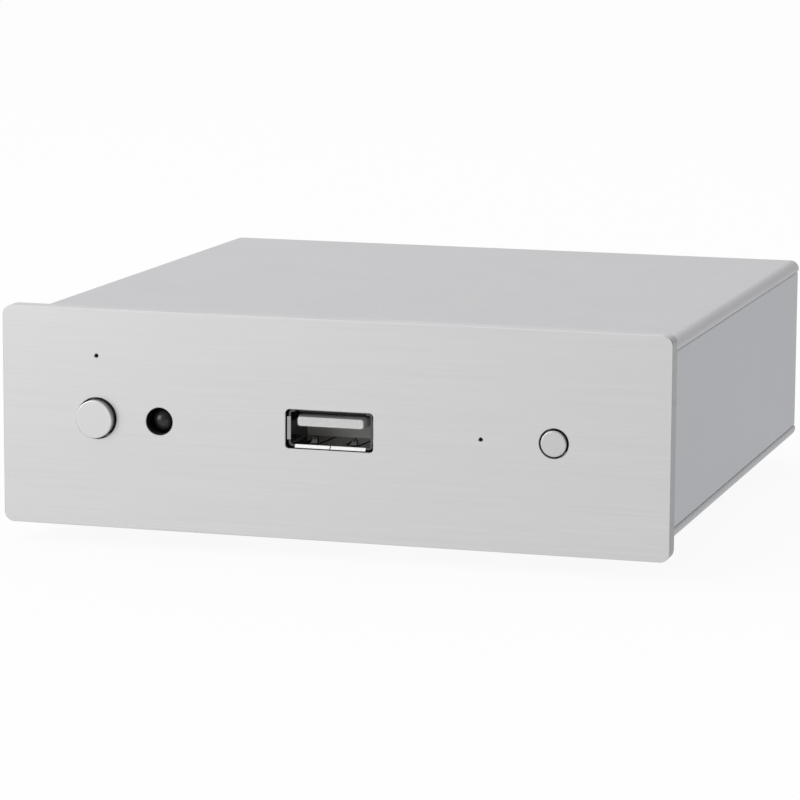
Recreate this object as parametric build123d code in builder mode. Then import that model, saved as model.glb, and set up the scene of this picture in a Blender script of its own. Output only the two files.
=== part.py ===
from build123d import *
import os

os.makedirs("parts", exist_ok=True)

# A small half-width network music streamer, in millimetres.
# X runs to the right, Y to the back and Z up. The origin lies on the table,
# under the middle of the whole box, sockets and buttons included.

# Front panel
panel_side_overhang = 1.2  # past the case at each side
panel_top_overhang = 1.55  # past the case, above and below
panel_thickness = 2.8
panel_corner_radius = 1.5
panel_edge_break = 0.1
hole_edge_break = 0.08

# Case behind the panel
case_width = 100.6
case_height = 30.0
body_depth = 104.0  # panel front face to the rear end of the case
cover_thickness = 1.85
cover_edge_radius = 1.4
cover_rear_radius = 0.4
seam_lip_radius = 0.3
wall_thickness = 2.0
wall_inset = 0.1  # the walls stand a little in from the covers
wall_rear_radius = 0.6
channel_width = 7.3  # measured from the wall's outer face
channel_height = 5.6
rear_panel_thickness = 1.5
rear_panel_setback = 0.6
rear_panel_clearance = 0.1
rear_panel_corner_radius = 0.5

# Ribs under the covers that slide in grooves of the side walls
rib_width = 1.2
rib_height = 1.2
rib_clearance = 0.1
rib_inset = 2.2  # from the wall's outer face to the middle of the rib

# Long tie screws that hold both panels to the side walls
tie_screw_radius = 1.45
tie_screw_clearance = 0.25
tie_screw_inset = 5.0  # from the wall's outer face
tie_screw_edge = 3.3  # from the seam
tie_thread_depth = 1.9
tie_thread_radius = 1.5
tie_tip_gap = 0.2
tie_head_radius = 2.6
tie_head_height = 1.6
tie_key_across = 2.0
tie_key_depth = 0.9

# Feet
foot_drop = 2.8  # floor to the lower edge of the front panel
foot_radius = 4.5
foot_side = 12.8  # from the side of the case
foot_front = 25.0  # from the panel's front face
foot_rear = 16.0  # from the case's rear end
foot_edge_break = 0.5
foot_recess_radius = 2.9
foot_recess_depth = 2.2
foot_screw_radius = 1.45
foot_screw_head_radius = 2.6
foot_screw_head_height = 1.5
foot_screw_slack = 0.15
foot_thread_slack = 0.05
foot_tip_gap = 0.1

# Main board
board_side_gap = 1.7
board_thickness = 1.6
board_front_gap = 2.2
board_rear_gap = 1.0
board_corner_radius = 1.5
board_screw_side = 15.5  # from the board's side
board_screw_front = 14.0  # from the panel's front face
board_screw_rear = 25.0  # from the case's rear end
board_screw_radius = 1.45
board_screw_slack = 0.05
board_screw_head_radius = 2.6
board_screw_head_height = 1.6
board_screw_grip = 5.0
board_hole_radius = 1.6
standoff_across = 5.5
standoff_bore_depth = 6.0

# Type-A host port
host_port_inside_width = 12.3
host_port_inside_height = 4.85
host_port_rise = 0.075  # its middle above the panel's middle
host_port_wall = 0.3
host_port_corner_radius = 0.6
host_port_setback = 0.45  # shell lips behind the panel's front face
host_port_length = 14.0
host_port_lip_depth = 0.3
host_port_lip_reach = 0.2  # past the shell, at the sides and below
host_port_lip_edge = 0.04
host_port_corner_relief = 0.7
host_port_lip_slit = 0.15
host_port_opening_width = 13.5
host_port_opening_height = 5.86
host_port_opening_radius = 0.6
host_port_cavity_depth = 8.4
host_port_stand = 0.2  # shell above the board, on four feet
host_port_foot_length = 1.6
host_port_foot_pitch = 7.0
host_port_foot_rear = 1.2  # from the shell's back end
tongue_width = 10.9
tongue_height = 1.55
tongue_setback = 0.2  # behind the shell lips
tongue_drop = 0.5  # below the shell's inner roof
tongue_corner_radius = 0.35
tongue_tip_length = 2.0
tongue_tip_side = 0.4  # how far the tip draws in at each side
tongue_tip_drop = 0.2  # and at its top
host_contact_pitch = 2.33
host_contact_width = 1.0
host_contact_height = 0.25
host_contact_setback = 2.05
finger_spacing = 6.1
finger_width = 1.5
finger_root_width = 2.5
finger_slot = 0.4
finger_front = 1.6  # behind the shell lips
finger_length = 6.4
finger_nub_width = 0.85
finger_nub_height = 0.8
finger_nub_length = 1.1
finger_nub_ramp = 0.45

# Power button
power_button_side = 15.0  # from the panel's left side
power_hole_radius = 3.125
power_cap_radius = 2.88
power_cap_proud = 1.3
power_cap_edge = 0.15
power_flange_radius = 3.6
power_travel = 0.5

# Source button
source_button_side = 17.4  # from the panel's right side
source_hole_radius = 2.2
source_cap_radius = 1.94
source_cap_proud = 0.3
source_cap_edge = 0.2
source_flange_radius = 2.7
source_travel = 0.3

# What both buttons share
flange_gap = 0.15
flange_thickness = 0.8
plunger_radius = 1.45
plunger_fit = 0.06
plunger_cap_depth = 1.6
plunger_body_depth = 1.6
switch_width = 6.0
switch_depth = 3.8
switch_gap = 1.8  # panel back to the switch, past the flange's travel
switch_edge = 0.3  # also on the receiver
switch_end_gap = 0.3

# Infrared receiver
receiver_side = 24.95  # from the panel's left side
receiver_hole_radius = 2.085
receiver_dome_radius = 1.95
receiver_dome_setback = 0.8
receiver_width = 5.6
receiver_depth = 4.0
receiver_gap = 1.7  # panel back to the receiver's face
receiver_lead_width = 0.5
receiver_lead_pitch = 1.27
receiver_lead_reach = 1.0
receiver_lead_rise = 1.2

# Indicator lamps and their light guides
pinhole_radius = 0.28
power_light_drop = 7.1  # below the panel's upper edge
source_light_side = 28.37  # from the panel's right side
guide_pocket_radius = 1.2
guide_pocket_depth = 2.0
guide_radius = 1.05
guide_tip_gap = 0.15
guide_post_width = 2.6
guide_leg = 0.8
guide_leg_clearance = 0.3
power_guide_post = 16.0  # post middle, from the panel's front face
source_guide_post = 9.5
lamp_width = 1.6
lamp_depth = 0.8
lamp_height = 0.7
lamp_gap = 0.15

# Network jack
network_jack_width = 16.0
network_jack_height = 13.4
network_jack_length = 21.3
network_jack_wall = 0.3
network_jack_proud = 0.5  # past the rear panel
network_insert_gap = 0.05
network_insert_setback = 0.6
network_cavity_width = 11.8
network_cavity_height = 6.9
network_cavity_depth = 13.0
network_cavity_rise = 2.2
network_latch_width = 6.3
network_latch_height = 2.0
network_latch_depth = 6.0
network_lamp_width = 2.6
network_lamp_height = 1.8
network_lamp_depth = 0.6
network_contact_pitch = 1.02
network_contact_width = 0.45
network_contact_thickness = 0.35
network_contact_rise = 1.1
network_contact_setback = 1.5
network_contact_length = 10.0

# Phono sockets
phono_pitch = 12.5
phono_rise = 6.5  # axis above the board
phono_barrel_radius = 4.15
phono_barrel_proud = 9.5
phono_barrel_bore = 3.35
phono_barrel_edge = 0.3
phono_collar_radius = 5.3
phono_collar_thickness = 0.8
phono_hole_clearance = 0.2
phono_pin_hole_radius = 1.65
phono_pin_hole_depth = 8.0
phono_insulator_setback = 0.5
phono_housing_height = 12.0
phono_housing_depth = 9.0
phono_housing_side = 5.8  # from each barrel's axis
phono_spigot_depth = 3.0

# Optical socket
optical_width = 9.6
optical_height = 10.2
optical_length = 13.5
optical_proud = 0.5
optical_edge = 0.15
optical_cavity_width = 7.0
optical_cavity_height = 8.0
optical_cavity_depth = 10.0
optical_front_wall = 0.8
optical_mouth_width = 6.6
optical_mouth_ledge = 0.4
optical_lens_radius = 1.2
optical_lens_length = 1.4
shutter_width = 6.4
shutter_thickness = 0.7
shutter_gap = 0.15
shutter_knuckle_radius = 0.7
shutter_pin_radius = 0.35
shutter_pin_fit = 0.05
shutter_pivot_drop = 0.8  # below the cavity's roof
shutter_pin_seat = 0.7
shutter_foot_gap = 0.2

# Power inlet
inlet_width = 9.0
inlet_height = 10.2
inlet_length = 14.4
inlet_nose_radius = 4.1
inlet_nose_length = 1.9
inlet_rise = 5.2
inlet_bore_radius = 3.2
inlet_bore_depth = 10.0
inlet_pin_radius = 1.05
inlet_pin_length = 9.2
inlet_hole_clearance = 0.2
socket_edge = 0.3  # on the inlet, the phono housing and the antenna barrel

# Antenna socket
antenna_rise = 5.6
antenna_thread_radius = 3.175
antenna_thread_proud = 11.0  # past the rear panel
antenna_bore_radius = 2.3
antenna_core_setback = 3.0
antenna_core_hole_radius = 0.5
antenna_core_hole_depth = 3.0
antenna_hex_across = 8.0
antenna_hex_thickness = 2.0
antenna_hole_clearance = 0.1
antenna_washer_radius = 4.5
antenna_washer_thickness = 0.5
antenna_nut_thickness = 2.2
antenna_nut_fit = 0.05
antenna_ferrule_radius = 1.7
antenna_ferrule_length = 5.0

# Radio module above the main board, and its antenna lead
module_side_gap = 2.0  # from the main board's side
module_width = 36.0
module_front = 20.0  # from the panel's front face
module_depth = 40.0
module_thickness = 1.0
module_corner_radius = 1.0
header_height = 4.0
header_width = 2.5
header_edge = 1.0
header_pins = 18
header_pin_notch = 0.4
shield_width = 25.0
shield_depth = 28.0
shield_height = 2.6
shield_wall = 0.25
shield_edge_radius = 0.6
lead_radius = 0.7
lead_plug_radius = 1.5
lead_plug_height = 1.6
lead_plug_side = 6.0  # from the module's side
lead_plug_rear = 4.0  # from the module's rear edge
lead_bend_radius = 2.0
lead_rise = 5.0
lead_cross_run = 12.0
lead_end_run = 4.0

# Chips and other parts on the main board, each with its own size
processor_side = 14.0
processor_height = 1.3
processor_share = (-0.14, 0.38)
heat_sink_side = 20.0
heat_sink_height = 7.0
heat_sink_base = 1.8
heat_sink_fins = 7
heat_sink_fin = 1.0
converter_side = 7.0
converter_height = 1.0
converter_share = (-0.17, 0.68)
amplifier_width = 5.0
amplifier_depth = 4.0
amplifier_height = 1.5
amplifier_share = (-0.07, 0.69)
chip_edge = 0.15
regulator_width = 6.5
regulator_depth = 6.1
regulator_height = 2.3
regulator_tab = 1.0
regulator_tab_height = 0.6
regulator_shares = ((-0.41, 0.62), (-0.41, 0.73))
crystal_width = 5.0
crystal_depth = 3.2
crystal_height = 1.1
crystal_edge = 0.6
crystal_shares = ((-0.27, 0.68), (-0.14, 0.24))
power_capacitor_radius = 3.15
power_capacitor_height = 7.7
power_capacitor_shares = ((-0.41, 0.22), (-0.41, 0.32), (-0.41, 0.42), (-0.41, 0.52))
audio_capacitor_radius = 2.5
audio_capacitor_height = 7.2
audio_capacitor_shares = ((-0.3, 0.845), (-0.22, 0.845), (-0.14, 0.845), (-0.06, 0.845))
capacitor_base = 1.2
capacitor_groove = 0.3
capacitor_edge = 0.4
inductor_side = 7.0
inductor_height = 4.2
inductor_corner = 1.6
inductor_core_radius = 2.4
inductor_core_recess = 0.3
inductor_shares = ((-0.3, 0.22), (-0.3, 0.56))

# Places that follow from these sizes
panel_width = case_width + 2 * panel_side_overhang
panel_height = case_height + 2 * panel_top_overhang
overall_depth = power_cap_proud + body_depth - rear_panel_setback + antenna_thread_proud
panel_front_y = power_cap_proud - overall_depth / 2
panel_back_y = panel_front_y + panel_thickness
case_back_y = panel_front_y + body_depth
rear_panel_outer_y = case_back_y - rear_panel_setback
rear_panel_inner_y = rear_panel_outer_y - rear_panel_thickness
panel_middle_z = foot_drop + panel_height / 2
case_bottom_z = panel_middle_z - case_height / 2
case_top_z = panel_middle_z + case_height / 2
inside_bottom_z = case_bottom_z + cover_thickness
inside_top_z = case_top_z - cover_thickness
wall_outer_x = case_width / 2 - wall_inset
wall_inner_x = wall_outer_x - wall_thickness
tie_screw_x = wall_outer_x - tie_screw_inset
tie_bore_radius = tie_screw_radius + tie_screw_clearance
tie_screw_heights = (inside_bottom_z + tie_screw_edge, inside_top_z - tie_screw_edge)
rib_x = wall_outer_x - rib_inset
foot_x = case_width / 2 - foot_side
power_button_x = power_button_side - panel_width / 2
receiver_x = receiver_side - panel_width / 2
host_port_x = 0
source_light_x = panel_width / 2 - source_light_side
source_button_x = panel_width / 2 - source_button_side
power_light_z = foot_drop + panel_height - power_light_drop
host_port_outside_width = host_port_inside_width + 2 * host_port_wall
host_port_outside_height = host_port_inside_height + 2 * host_port_wall
host_port_middle_z = panel_middle_z + host_port_rise
board_top_z = host_port_middle_z - host_port_outside_height / 2 - host_port_stand
board_bottom_z = board_top_z - board_thickness
board_front_y = panel_back_y + board_front_gap
board_back_y = rear_panel_inner_y - board_rear_gap
board_width = 2 * (wall_inner_x - board_side_gap)
board_screw_x = board_width / 2 - board_screw_side

# The rear sockets stand in a row between the screw channels, with even gaps
channel_inner_x = wall_outer_x - channel_width
phono_housing_width = phono_pitch + 2 * phono_housing_side
antenna_washer_width = 2 * antenna_washer_radius
sockets_width = sum(
    (inlet_width, phono_housing_width, optical_width, network_jack_width, antenna_washer_width)
)
socket_gap = (2 * channel_inner_x - sockets_width) / 6
inlet_x = socket_gap + inlet_width / 2 - channel_inner_x
phono_right_x = inlet_x + inlet_width / 2 + socket_gap + phono_housing_side
phono_left_x = phono_right_x + phono_pitch
optical_x = phono_left_x + phono_housing_side + socket_gap + optical_width / 2
network_jack_x = optical_x + optical_width / 2 + socket_gap + network_jack_width / 2
antenna_x = network_jack_x + network_jack_width / 2 + socket_gap + antenna_washer_radius


def from_front(distance):
    """Y of a place that is given from the front panel's face."""
    return panel_front_y + distance


def from_rear(distance):
    """Y of a place that is given from the rear end of the case."""
    return case_back_y - distance


def around(middle, width):
    """The two ends of a width about its middle."""
    return middle - width / 2, middle + width / 2


def on_board(share):
    """A place on the main board, from its shares of the board's width and depth."""
    return share[0] * board_width, board_front_y + share[1] * (board_back_y - board_front_y)


def facing_front(y):
    """The plane at y that looks to the front, with its X to the right and its Y up."""
    return Plane(origin=(0, y, 0), x_dir=(1, 0, 0), z_dir=(0, -1, 0))


def block(x_ends, y_ends, z_ends, mode=Mode.ADD):
    """A box between two ends along each axis."""
    ends = (x_ends, y_ends, z_ends)
    with Locations(tuple((low + high) / 2 for low, high in ends)):
        Box(*[high - low for low, high in ends], mode=mode)


def rod(x, z, radius, y_ends, mode=Mode.ADD):
    """A round bar along Y."""
    seat = Plane(origin=(x, y_ends[1], z), x_dir=(1, 0, 0), z_dir=(0, -1, 0))
    with Locations(seat):
        Cylinder(radius, y_ends[1] - y_ends[0], align=(Align.CENTER, Align.CENTER, Align.MIN), mode=mode)


def post(x, y, radius, z_ends, mode=Mode.ADD):
    """A round bar along Z."""
    with Locations((x, y, z_ends[0])):
        Cylinder(radius, z_ends[1] - z_ends[0], align=(Align.CENTER, Align.CENTER, Align.MIN), mode=mode)


def save(piece, label):
    """Name a finished piece and write its file."""
    piece.part.label = label
    export_step(piece.part, f"parts/{label}.step")


# Front panel: every control looks out through it, and the tie screws end in its back
with BuildPart() as front_panel:
    with BuildSketch(facing_front(panel_back_y)):
        with Locations((0, panel_middle_z)):
            RectangleRounded(panel_width, panel_height, panel_corner_radius)
    extrude(amount=panel_thickness)
    chamfer(front_panel.faces().sort_by(Axis.Y)[0].edges(), panel_edge_break)
    with BuildSketch(facing_front(panel_back_y)):
        with Locations((power_button_x, panel_middle_z)):
            Circle(power_hole_radius)
        with Locations((source_button_x, panel_middle_z)):
            Circle(source_hole_radius)
        with Locations((receiver_x, panel_middle_z)):
            Circle(receiver_hole_radius)
        with Locations((power_button_x, power_light_z), (source_light_x, panel_middle_z)):
            Circle(pinhole_radius)
        with Locations((host_port_x, panel_middle_z)):
            RectangleRounded(host_port_opening_width, host_port_opening_height, host_port_opening_radius)
    extrude(amount=panel_thickness, mode=Mode.SUBTRACT)
    hole_rims = front_panel.faces().sort_by(Axis.Y)[0].inner_wires()
    chamfer([edge for rim in hole_rims for edge in rim.edges()], hole_edge_break)
    pocket_ends = (panel_back_y - guide_pocket_depth, panel_back_y)
    rod(power_button_x, power_light_z, guide_pocket_radius, pocket_ends, Mode.SUBTRACT)
    rod(source_light_x, panel_middle_z, guide_pocket_radius, pocket_ends, Mode.SUBTRACT)
    thread_ends = (panel_back_y - tie_thread_depth, panel_back_y)
    for tie_x in (-tie_screw_x, tie_screw_x):
        for tie_z in tie_screw_heights:
            rod(tie_x, tie_z, tie_thread_radius, thread_ends, Mode.SUBTRACT)
save(front_panel, "front_panel")


def make_cover(outer_z, inner_z):
    """A cover plate with round long edges and two ribs, with its outer face at outer_z."""
    low_z, high_z = min(outer_z, inner_z), max(outer_z, inner_z)
    inward = 1 if inner_z > outer_z else -1
    with BuildPart() as cover:
        block((-case_width / 2, case_width / 2), (panel_back_y, case_back_y), (low_z, high_z))
        long_edges = cover.edges().filter_by(Axis.Y).sort_by(Axis.Z)
        outer_edges = long_edges[:2] if inward > 0 else long_edges[-2:]
        inner_edges = long_edges[-2:] if inward > 0 else long_edges[:2]
        fillet(outer_edges, cover_edge_radius)
        fillet(inner_edges, seam_lip_radius)
        outer_face = cover.faces().filter_by(Axis.Z).sort_by(Axis.Z)[0 if inward > 0 else -1]
        fillet(outer_face.edges().sort_by(Axis.Y)[-1], cover_rear_radius)
        rib_z = sorted((inner_z, inner_z + inward * rib_height))
        for middle_x in (-rib_x, rib_x):
            block(around(middle_x, rib_width), (panel_back_y, rear_panel_inner_y), rib_z)
    return cover


# Top cover
top_cover = make_cover(case_top_z, inside_top_z)
save(top_cover, "top_cover")

# Bottom cover, tapped for the feet and the standoffs
foot_places = {
    "foot_front_left": (-foot_x, from_front(foot_front)),
    "foot_front_right": (foot_x, from_front(foot_front)),
    "foot_rear_left": (-foot_x, from_rear(foot_rear)),
    "foot_rear_right": (foot_x, from_rear(foot_rear)),
}
board_screw_places = [
    (side * board_screw_x, screw_y)
    for side in (-1, 1)
    for screw_y in (from_front(board_screw_front), from_rear(board_screw_rear))
]
with BuildPart() as bottom_cover:
    add(make_cover(case_bottom_z, inside_bottom_z).part)
    foot_thread_radius = foot_screw_radius + foot_thread_slack
    for place in foot_places.values():
        post(*place, foot_thread_radius, (case_bottom_z, inside_bottom_z), Mode.SUBTRACT)
save(bottom_cover, "bottom_cover")


def make_wall(side):
    """A side wall with two screw channels and two rib grooves; side is -1 or 1."""
    outer_x = side * wall_outer_x
    inner_x = side * wall_inner_x
    channel_x = side * channel_inner_x
    with BuildPart() as wall:
        block(sorted((outer_x, inner_x)), (panel_back_y, case_back_y), (inside_bottom_z, inside_top_z))
        outer_face = wall.faces().sort_by(Axis.X)[0 if side < 0 else -1]
        fillet(outer_face.edges().filter_by(Axis.Y), seam_lip_radius)
        rear_face = wall.faces().sort_by(Axis.Y)[-1]
        rear_edge = rear_face.edges().filter_by(Axis.Z).sort_by(Axis.X)[0 if side < 0 else -1]
        fillet(rear_edge, wall_rear_radius)
        for tie_z, z_ends in (
            (tie_screw_heights[0], (inside_bottom_z, inside_bottom_z + channel_height)),
            (tie_screw_heights[1], (inside_top_z - channel_height, inside_top_z)),
        ):
            block(sorted((channel_x, inner_x)), (panel_back_y, rear_panel_inner_y), z_ends)
            tie_ends = (panel_back_y, rear_panel_inner_y)
            rod(side * tie_screw_x, tie_z, tie_bore_radius, tie_ends, Mode.SUBTRACT)
        groove_x = around(side * rib_x, rib_width + 2 * rib_clearance)
        groove_y = (panel_back_y, rear_panel_inner_y)
        groove_depth = rib_height + rib_clearance
        block(groove_x, groove_y, (inside_bottom_z, inside_bottom_z + groove_depth), Mode.SUBTRACT)
        block(groove_x, groove_y, (inside_top_z - groove_depth, inside_top_z), Mode.SUBTRACT)
    return wall


# Side walls
for side, label in ((-1, "left_side_wall"), (1, "right_side_wall")):
    save(make_wall(side), label)

# Rear panel, set in between the walls and covers
inlet_z = board_top_z + inlet_rise
phono_z = board_top_z + phono_rise
optical_z = board_top_z + optical_height / 2
network_jack_z = board_top_z + network_jack_height / 2
antenna_z = board_top_z + antenna_rise
with BuildPart() as rear_panel:
    with BuildSketch(facing_front(rear_panel_outer_y)):
        with Locations((0, panel_middle_z)):
            RectangleRounded(
                2 * (wall_inner_x - rear_panel_clearance),
                inside_top_z - inside_bottom_z - 2 * rear_panel_clearance,
                rear_panel_corner_radius,
            )
        with Locations((inlet_x, inlet_z)):
            Circle(inlet_nose_radius + inlet_hole_clearance, mode=Mode.SUBTRACT)
        with Locations((phono_left_x, phono_z), (phono_right_x, phono_z)):
            Circle(phono_barrel_radius + phono_hole_clearance, mode=Mode.SUBTRACT)
        with Locations((antenna_x, antenna_z)):
            Circle(antenna_thread_radius + antenna_hole_clearance, mode=Mode.SUBTRACT)
        with Locations((optical_x, optical_z)):
            Rectangle(optical_width + 2 * rear_panel_clearance,
                      optical_height + 2 * rear_panel_clearance, mode=Mode.SUBTRACT)
        with Locations((network_jack_x, network_jack_z)):
            Rectangle(network_jack_width + 2 * rear_panel_clearance,
                      network_jack_height + 2 * rear_panel_clearance, mode=Mode.SUBTRACT)
        for tie_x in (-tie_screw_x, tie_screw_x):
            with Locations(*[(tie_x, tie_z) for tie_z in tie_screw_heights]):
                Circle(tie_bore_radius, mode=Mode.SUBTRACT)
    extrude(amount=rear_panel_thickness)
save(rear_panel, "rear_panel")

# Four tie screws, from the rear panel through the walls into the front panel
with BuildPart() as case_screws:
    for tie_x in (-tie_screw_x, tie_screw_x):
        for tie_z in tie_screw_heights:
            shank_front_y = panel_back_y - tie_thread_depth + tie_tip_gap
            rod(tie_x, tie_z, tie_screw_radius, (shank_front_y, rear_panel_outer_y))
            rod(tie_x, tie_z, tie_head_radius, (rear_panel_outer_y, rear_panel_outer_y + tie_head_height))
    fillet(case_screws.edges().filter_by(GeomType.CIRCLE).group_by(Axis.Y)[-1], tie_head_height / 2)
    with BuildSketch(facing_front(rear_panel_outer_y + tie_head_height)):
        for tie_x in (-tie_screw_x, tie_screw_x):
            with Locations(*[(tie_x, tie_z) for tie_z in tie_screw_heights]):
                RegularPolygon(tie_key_across / 2, 6, major_radius=False)
    extrude(amount=tie_key_depth, mode=Mode.SUBTRACT)
save(case_screws, "case_screws")

# Feet
for label, place in foot_places.items():
    with BuildPart() as foot:
        post(*place, foot_radius, (0, case_bottom_z))
        chamfer(foot.faces().sort_by(Axis.Z)[0].edges(), foot_edge_break)
        post(*place, foot_recess_radius, (0, foot_recess_depth), Mode.SUBTRACT)
        shank_radius = foot_screw_radius + foot_screw_slack
        post(*place, shank_radius, (foot_recess_depth, case_bottom_z), Mode.SUBTRACT)
    save(foot, label)

# Foot screws
with BuildPart() as foot_screws:
    for place in foot_places.values():
        post(*place, foot_screw_radius, (foot_recess_depth, inside_bottom_z - foot_tip_gap))
        head_ends = (foot_recess_depth - foot_screw_head_height, foot_recess_depth)
        post(*place, foot_screw_head_radius, head_ends)
    lower_rims = foot_screws.edges().filter_by(GeomType.CIRCLE).group_by(Axis.Z)[0]
    fillet(lower_rims, foot_screw_head_height / 2)
save(foot_screws, "foot_screws")

# Hexagonal standoffs under the main board
with BuildPart() as board_standoffs:
    with BuildSketch(Plane.XY.offset(inside_bottom_z)):
        with Locations(*board_screw_places):
            RegularPolygon(standoff_across / 2, 6, major_radius=False)
    extrude(amount=board_bottom_z - inside_bottom_z)
    for place in board_screw_places:
        bore_ends = (board_bottom_z - standoff_bore_depth, board_bottom_z)
        post(*place, board_screw_radius + board_screw_slack, bore_ends, Mode.SUBTRACT)
save(board_standoffs, "board_standoffs")

# Screws through the main board into the standoffs
with BuildPart() as board_screws:
    for place in board_screw_places:
        post(*place, board_screw_radius, (board_bottom_z - board_screw_grip, board_top_z))
        post(*place, board_screw_head_radius, (board_top_z, board_top_z + board_screw_head_height))
    upper_rims = board_screws.edges().filter_by(GeomType.CIRCLE).group_by(Axis.Z)[-1]
    fillet(upper_rims, board_screw_head_height / 2)
save(board_screws, "board_screws")

# Main board
with BuildPart() as main_board:
    with BuildSketch(Plane.XY.offset(board_bottom_z)):
        with Locations((0, (board_front_y + board_back_y) / 2)):
            RectangleRounded(board_width, board_back_y - board_front_y, board_corner_radius)
        with Locations(*board_screw_places):
            Circle(board_hole_radius, mode=Mode.SUBTRACT)
    extrude(amount=board_thickness)
save(main_board, "main_board")

# Host port shell: a sheet metal tube with flared lips, open corners and two sprung fingers
lips_y = from_front(host_port_setback)
shell_back_y = lips_y + host_port_length
lip_back_y = lips_y + host_port_lip_depth
roof_z = host_port_middle_z + host_port_inside_height / 2
floor_z = host_port_middle_z - host_port_inside_height / 2
lips_width = host_port_outside_width + 2 * host_port_lip_reach
lips_height = host_port_outside_height + host_port_lip_reach
lips_middle_z = host_port_middle_z - host_port_lip_reach / 2
with BuildPart() as host_port_shell:
    with BuildSketch(facing_front(shell_back_y)):
        with Locations((host_port_x, host_port_middle_z)):
            RectangleRounded(host_port_outside_width, host_port_outside_height, host_port_corner_radius)
    extrude(amount=host_port_length - host_port_lip_depth)
    with BuildSketch(facing_front(lip_back_y)):
        with Locations((host_port_x, host_port_middle_z)):
            Rectangle(host_port_outside_width, host_port_outside_height)
    with BuildSketch(facing_front(lips_y)):
        with Locations((host_port_x, lips_middle_z)):
            Rectangle(lips_width, lips_height)
    loft()
    with BuildSketch(facing_front(lip_back_y)):
        with Locations((host_port_x, host_port_middle_z)):
            Rectangle(host_port_inside_width, host_port_inside_height)
    with BuildSketch(facing_front(lips_y)):
        with Locations((host_port_x, lips_middle_z)):
            Rectangle(lips_width - 2 * host_port_lip_edge, lips_height - 2 * host_port_lip_edge)
    loft(mode=Mode.SUBTRACT)
    with BuildSketch(facing_front(shell_back_y)):
        with Locations((host_port_x, host_port_middle_z)):
            RectangleRounded(host_port_inside_width, host_port_inside_height,
                             host_port_corner_radius - host_port_wall)
    extrude(amount=host_port_length - host_port_lip_depth, mode=Mode.SUBTRACT)
    for side_x in around(host_port_x, host_port_outside_width):
        for side_z in around(host_port_middle_z, host_port_outside_height):
            relief = 2 * (host_port_corner_relief + host_port_wall)
            block(around(side_x, relief), (lips_y, lip_back_y), around(side_z, relief), Mode.SUBTRACT)
    slit_z = (lips_middle_z - lips_height / 2, floor_z)
    block(around(host_port_x, host_port_lip_slit), (lips_y, lips_y + finger_front), slit_z, Mode.SUBTRACT)
    for side_x in around(host_port_x, host_port_outside_width - host_port_wall):
        for foot_back in (host_port_foot_rear, host_port_foot_rear + host_port_foot_pitch):
            foot_y = (shell_back_y - foot_back - host_port_foot_length, shell_back_y - foot_back)
            block(around(side_x, host_port_wall), foot_y, (board_top_z, host_port_middle_z))
    finger_y = lips_y + finger_front
    for finger_x in around(host_port_x, finger_spacing):
        with BuildSketch(Plane.XY.offset(floor_z - host_port_wall)):
            with BuildLine():
                Polyline(
                    (finger_x - finger_width / 2 - finger_slot, finger_y),
                    (finger_x + finger_width / 2 + finger_slot, finger_y),
                    (finger_x + finger_root_width / 2 + finger_slot, finger_y + finger_length),
                    (finger_x + finger_root_width / 2, finger_y + finger_length),
                    (finger_x + finger_width / 2, finger_y + finger_slot),
                    (finger_x - finger_width / 2, finger_y + finger_slot),
                    (finger_x - finger_root_width / 2, finger_y + finger_length),
                    (finger_x - finger_root_width / 2 - finger_slot, finger_y + finger_length),
                    close=True,
                )
            make_face()
        extrude(amount=host_port_wall, mode=Mode.SUBTRACT)
        nub_y = finger_y + finger_slot
        with BuildSketch(Plane.YZ.offset(finger_x - finger_nub_width / 2)):
            with BuildLine():
                Polyline(
                    (nub_y, floor_z),
                    (nub_y + finger_nub_ramp, floor_z + finger_nub_height),
                    (nub_y + finger_nub_length - finger_nub_ramp, floor_z + finger_nub_height),
                    (nub_y + finger_nub_length, floor_z),
                    close=True,
                )
            make_face()
        extrude(amount=finger_nub_width)
save(host_port_shell, "host_port_shell")

# Host port insert: the tongue with its drawn-in tip, and the block that fills the back of the shell
tongue_y = lips_y + tongue_setback
cavity_back_y = lips_y + host_port_cavity_depth
tongue_top_z = roof_z - tongue_drop
tongue_z = (tongue_top_z - tongue_height, tongue_top_z)
tip_width = tongue_width - 2 * tongue_tip_side
tip_height = tongue_height - tongue_tip_drop
with BuildPart() as host_port_insert:
    with BuildSketch(facing_front(tongue_y)):
        with Locations((host_port_x, tongue_z[0] + tip_height / 2)):
            RectangleRounded(tip_width, tip_height, tongue_corner_radius)
    with BuildSketch(facing_front(tongue_y + tongue_tip_length)):
        with Locations((host_port_x, tongue_z[0] + tongue_height / 2)):
            RectangleRounded(tongue_width, tongue_height, tongue_corner_radius)
    loft()
    with BuildSketch(facing_front(shell_back_y)):
        with Locations((host_port_x, tongue_z[0] + tongue_height / 2)):
            RectangleRounded(tongue_width, tongue_height, tongue_corner_radius)
    extrude(amount=shell_back_y - tongue_y - tongue_tip_length)
    with BuildSketch(facing_front(shell_back_y)):
        with Locations((host_port_x, host_port_middle_z)):
            RectangleRounded(host_port_inside_width, host_port_inside_height,
                             host_port_corner_radius - host_port_wall)
    extrude(amount=shell_back_y - cavity_back_y)
save(host_port_insert, "host_port_insert")

# Host port contacts under the tongue
with BuildPart() as host_port_contacts:
    contact_z = (tongue_z[0] - host_contact_height, tongue_z[0])
    for number in range(4):
        contact_x = host_port_x + (number - 3 / 2) * host_contact_pitch
        contact_y = (tongue_y + host_contact_setback, cavity_back_y)
        block(around(contact_x, host_contact_width), contact_y, contact_z)
save(host_port_contacts, "host_port_contacts")


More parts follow.
